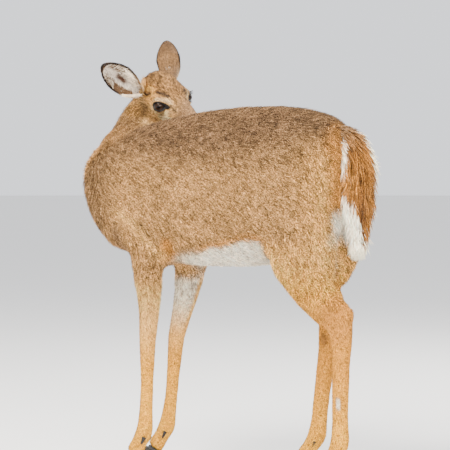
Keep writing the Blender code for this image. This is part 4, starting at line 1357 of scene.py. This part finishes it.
enter = node_of(streak, "NodeGroupInput", (-900, 0))
leave = node_of(streak, "NodeGroupOutput", (500, 0))
where = node_of(streak, "ShaderNodeTexCoord", (-900, -250))
noise = node_of(streak, "ShaderNodeTexNoise", (-650, -200), Detail=1.6, Roughness=0.55)
cobble = node_of(streak, "ShaderNodeTexVoronoi", (-650, -450), Scale=420.0)
spread = node_of(streak, "ShaderNodeMapRange", (-420, -100),
                 From_Min=0.39, From_Max=0.61, To_Min=0.18, To_Max=1.98)
parts = node_of(streak, "ShaderNodeSeparateColor", (-650, 250))
grain = node_of(streak, "ShaderNodeMapRange", (-420, 250),
                From_Min=0.25, From_Max=0.60, To_Min=1.0, To_Max=0.12)
strength = node_of(streak, "ShaderNodeMath", (-280, 250), operation="MULTIPLY")
tint = node_of(streak, "ShaderNodeMix", (-150, 100), data_type="RGBA", blend_type="MULTIPLY")
rough = node_of(streak, "ShaderNodeMapRange", (-150, -150), To_Min=0.72, To_Max=0.30)
blend = node_of(streak, "ShaderNodeMix", (50, -350), data_type="FLOAT")
deep = node_of(streak, "ShaderNodeMath", (250, -350), operation="MULTIPLY")
join(streak, ((where, "Object"), (noise, "Vector")), ((where, "Object"), (cobble, "Vector")),
     ((enter, "Scale"), (noise, "Scale")), ((noise, 0), (spread, "Value")),
     ((enter, "Painted"), (parts, 0)), ((parts, "Blue"), (grain, "Value")),
     ((grain, 0), (strength, 0)), ((enter, "Grain"), (strength, 1)), ((strength, 0), (tint, 0)),
     ((enter, "Painted"), (tint, 6)), ((spread, 0), (tint, 7)), ((tint, 2), (leave, "Color")),
     ((enter, "Bare"), (rough, "Value")), ((rough, 0), (leave, "Roughness")),
     ((enter, "Bare"), (blend, 0)), ((noise, 0), (blend, 2)), ((cobble, 0), (blend, 3)),
     ((blend, 0), (deep, 0)), ((enter, "Depth"), (deep, 1)), ((deep, 0), (leave, "Height")))
print("the streaks are", len(streak.nodes), "nodes")


# %% Finishes of hair and skin
def new_finish(name, **constants):
    """A material's nodes and its shader, with the given values set on the shader."""
    material = bpy.data.materials.new(name)
    material.use_nodes = True
    shader = material.node_tree.nodes["Principled BSDF"]
    for key, value in constants.items():
        shader.inputs[key.replace("_", " ")].default_value = value
    return material, material.node_tree, shader


def painted(name, scale, depth, grain, specular):
    """A material that reads the painted colour through the streaks."""
    material, tree, shader = new_finish(name, Specular_IOR_Level=specular)
    source = node_of(tree, "ShaderNodeVertexColor", (-700, 200), layer_name="coat")
    group = node_of(tree, "ShaderNodeGroup", (-450, 100), node_tree=streak)
    for label, value in (("Scale", scale), ("Depth", depth), ("Grain", grain)):
        group.inputs[label].default_value = value
    bump = node_of(tree, "ShaderNodeBump", (-200, -200), Strength=0.6, Distance=0.0008)
    join(tree, ((source, "Color"), (group, "Painted")), ((source, "Alpha"), (group, "Bare")),
         ((group, "Color"), (shader, "Base Color")), ((group, "Roughness"), (shader, "Roughness")),
         ((group, "Height"), (bump, "Height")), ((bump, "Normal"), (shader, "Normal")))
    return material


hair = painted("coat hair", 310.0, 0.4, 1.0, 0.18)
fine_hair = painted("fine hair", 380.0, 0.4, 0.60, 0.18)
hide = painted("skin under the coat", 420.0, 1.0, 0.5, 0.14)
leaf = painted("ear skin", 500.0, 0.8, 0.5, 0.15)

# %% Finish of the eyes
wet, tree, shader = new_finish("wet eye", Roughness=0.06, Specular_IOR_Level=0.15)
source = node_of(tree, "ShaderNodeVertexColor", (-600, 100), layer_name="coat")
flecks = node_of(tree, "ShaderNodeTexNoise", (-600, -150), Scale=900.0, Detail=2.0)
mixed = node_of(tree, "ShaderNodeMix", (-250, 100), data_type="RGBA", blend_type="MULTIPLY")
mixed.inputs[0].default_value = 0.5
join(tree, ((source, "Color"), (mixed, 6)), ((flecks, 0), (mixed, 7)),
     ((mixed, 2), (shader, "Base Color")))

# %% Finish of the horn
horn, tree, shader = new_finish("black horn", Specular_IOR_Level=0.22)
where = node_of(tree, "ShaderNodeTexCoord", (-1000, 0))
growth = node_of(tree, "ShaderNodeTexWave", (-750, 100), Scale=70.0, Distortion=2.5, Detail=2.0,
                 Detail_Scale=1.2, bands_direction="Z")
scuff = node_of(tree, "ShaderNodeTexNoise", (-750, -250), Scale=160.0, Detail=5.0)
tone = node_of(tree, "ShaderNodeValToRGB", (-400, 150))
tone.color_ramp.elements[0].color = (0.007, 0.006, 0.005, 1)
tone.color_ramp.elements[1].color = (0.036, 0.029, 0.023, 1)
tone.color_ramp.elements[0].position, tone.color_ramp.elements[1].position = 0.35, 0.75
worn = node_of(tree, "ShaderNodeMapRange", (-400, -150), To_Min=0.38, To_Max=0.66)
bump = node_of(tree, "ShaderNodeBump", (-200, -350), Strength=0.35, Distance=0.0006)
join(tree, ((where, "Object"), (growth, "Vector")), ((where, "Object"), (scuff, "Vector")),
     ((scuff, 0), (tone, 0)), ((scuff, 0), (worn, "Value")), ((growth, 1), (bump, "Height")),
     ((tone, 0), (shader, "Base Color")), ((worn, 0), (shader, "Roughness")),
     ((bump, "Normal"), (shader, "Normal")))


# %% Each piece gets its finish and body
def finish(obj, material):
    """Gives the piece its finish and attaches it to the root body."""
    obj.data.materials.clear()
    obj.data.materials.append(material)
    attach(obj, "root")


skin.data.shade_smooth()
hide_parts(*FLESH)
finish(skin, hide)
finish(tail_core, hide)
finish(lashes, fine_hair)
SLOTS = {"coat_head": "head_coat", "coat_rump": "rump_coat", "coat_tail": "tail_coat",
         "coat_ear": "ear_coat", "coat_fore": "leg_coat", "coat_hind": "leg_coat"}
for coat in coats:
    slot = next((s for start, s in SLOTS.items() if coat.name.startswith(start)), "body_coat")
    finish(coat, hair if slot in ("body_coat", "rump_coat") else fine_hair)
for ear in ears:
    finish(ear, leaf)
for eye in eyes:
    finish(eye, wet)
for claw in horn_pieces:
    finish(claw, horn)
print("finishes:", [m.name for m in bpy.data.materials])

# %% [markdown]
# ## Floor, light and camera
# A plain pale floor and soft light show the coat evenly.  One small lamp would give every
# tuft a black shadow and hide the markings, so the three lamps are large: a warm key, a low
# fill and a rim on the far side.  An even sky lightens the shadows between them.  The camera
# stands level with the doe's trunk, on her left and a third of the way round towards her
# tail, with a long lens.

# %% Floor
bm = bmesh.new()
bmesh.ops.create_circle(bm, cap_ends=True, segments=96, radius=40.0)
floor = link("floor", mesh_of(bm, "floor"))
plain, _, _ = new_finish("pale floor", Base_Color=(0.80, 0.79, 0.77, 1), Roughness=0.95)
floor.data.materials.append(plain)

# %% Light
sky = bpy.data.worlds.new("soft sky")
bpy.context.scene.world = sky
sky.use_nodes = True
sky.node_tree.nodes["Background"].inputs[0].default_value = (0.93, 0.95, 1.0, 1)
sky.node_tree.nodes["Background"].inputs[1].default_value = 1.45


def soft_lamp(name, place, size, power, tint):
    """A square lamp that faces the middle of the doe."""
    lamp = bpy.data.lights.new(name, "AREA")
    lamp.size, lamp.energy, lamp.color = size, power, tint
    aim = Vector((0.1, 0.0, 0.6)) - Vector(place)
    link(name, lamp).matrix_world = (Matrix.Translation(Vector(place))
                                     @ aim.to_track_quat("-Z", "Y").to_matrix().to_4x4())


soft_lamp("key", (3.2, -0.6, 4.2), 2.6, 760, (1.0, 0.95, 0.87))
soft_lamp("fill", (3.8, 3.2, 0.7), 3.0, 600, (1.0, 0.97, 0.92))
soft_lamp("rim", (-3.5, 1.0, 3.2), 2.2, 270, (1.0, 0.98, 0.95))

# %% Camera
CAMERA_TURN, CAMERA_DOWN = math.radians(120.0), math.radians(1.7)
CAMERA_PLACE = Vector((5.669120, 3.175080, 0.83))         # from the foot of the doe's axes
LENS, SENSOR = 199.76, 36.0
away = Vector((math.sin(CAMERA_TURN) * math.cos(CAMERA_DOWN),
               -math.cos(CAMERA_TURN) * math.cos(CAMERA_DOWN), math.sin(CAMERA_DOWN)))
right = Vector((math.cos(CAMERA_TURN), math.sin(CAMERA_TURN), 0.0))
lens = bpy.data.cameras.new("camera")
lens.sensor_width, lens.lens, lens.clip_end = SENSOR, LENS, 200.0
pose = Matrix((right, right.cross(-away), away)).transposed().to_4x4()
pose.translation = home + CAMERA_PLACE
camera = link("camera", lens)
camera.matrix_world = pose
bpy.context.scene.camera = camera
print("the camera stands", round((pose.translation - home).length, 2), "m away")

# %% Sizes, and the end
for obj in [skin, *coats]:
    obj.data.calc_loop_triangles()
print({o.name: len(o.data.loop_triangles) for o in [skin, *coats]})
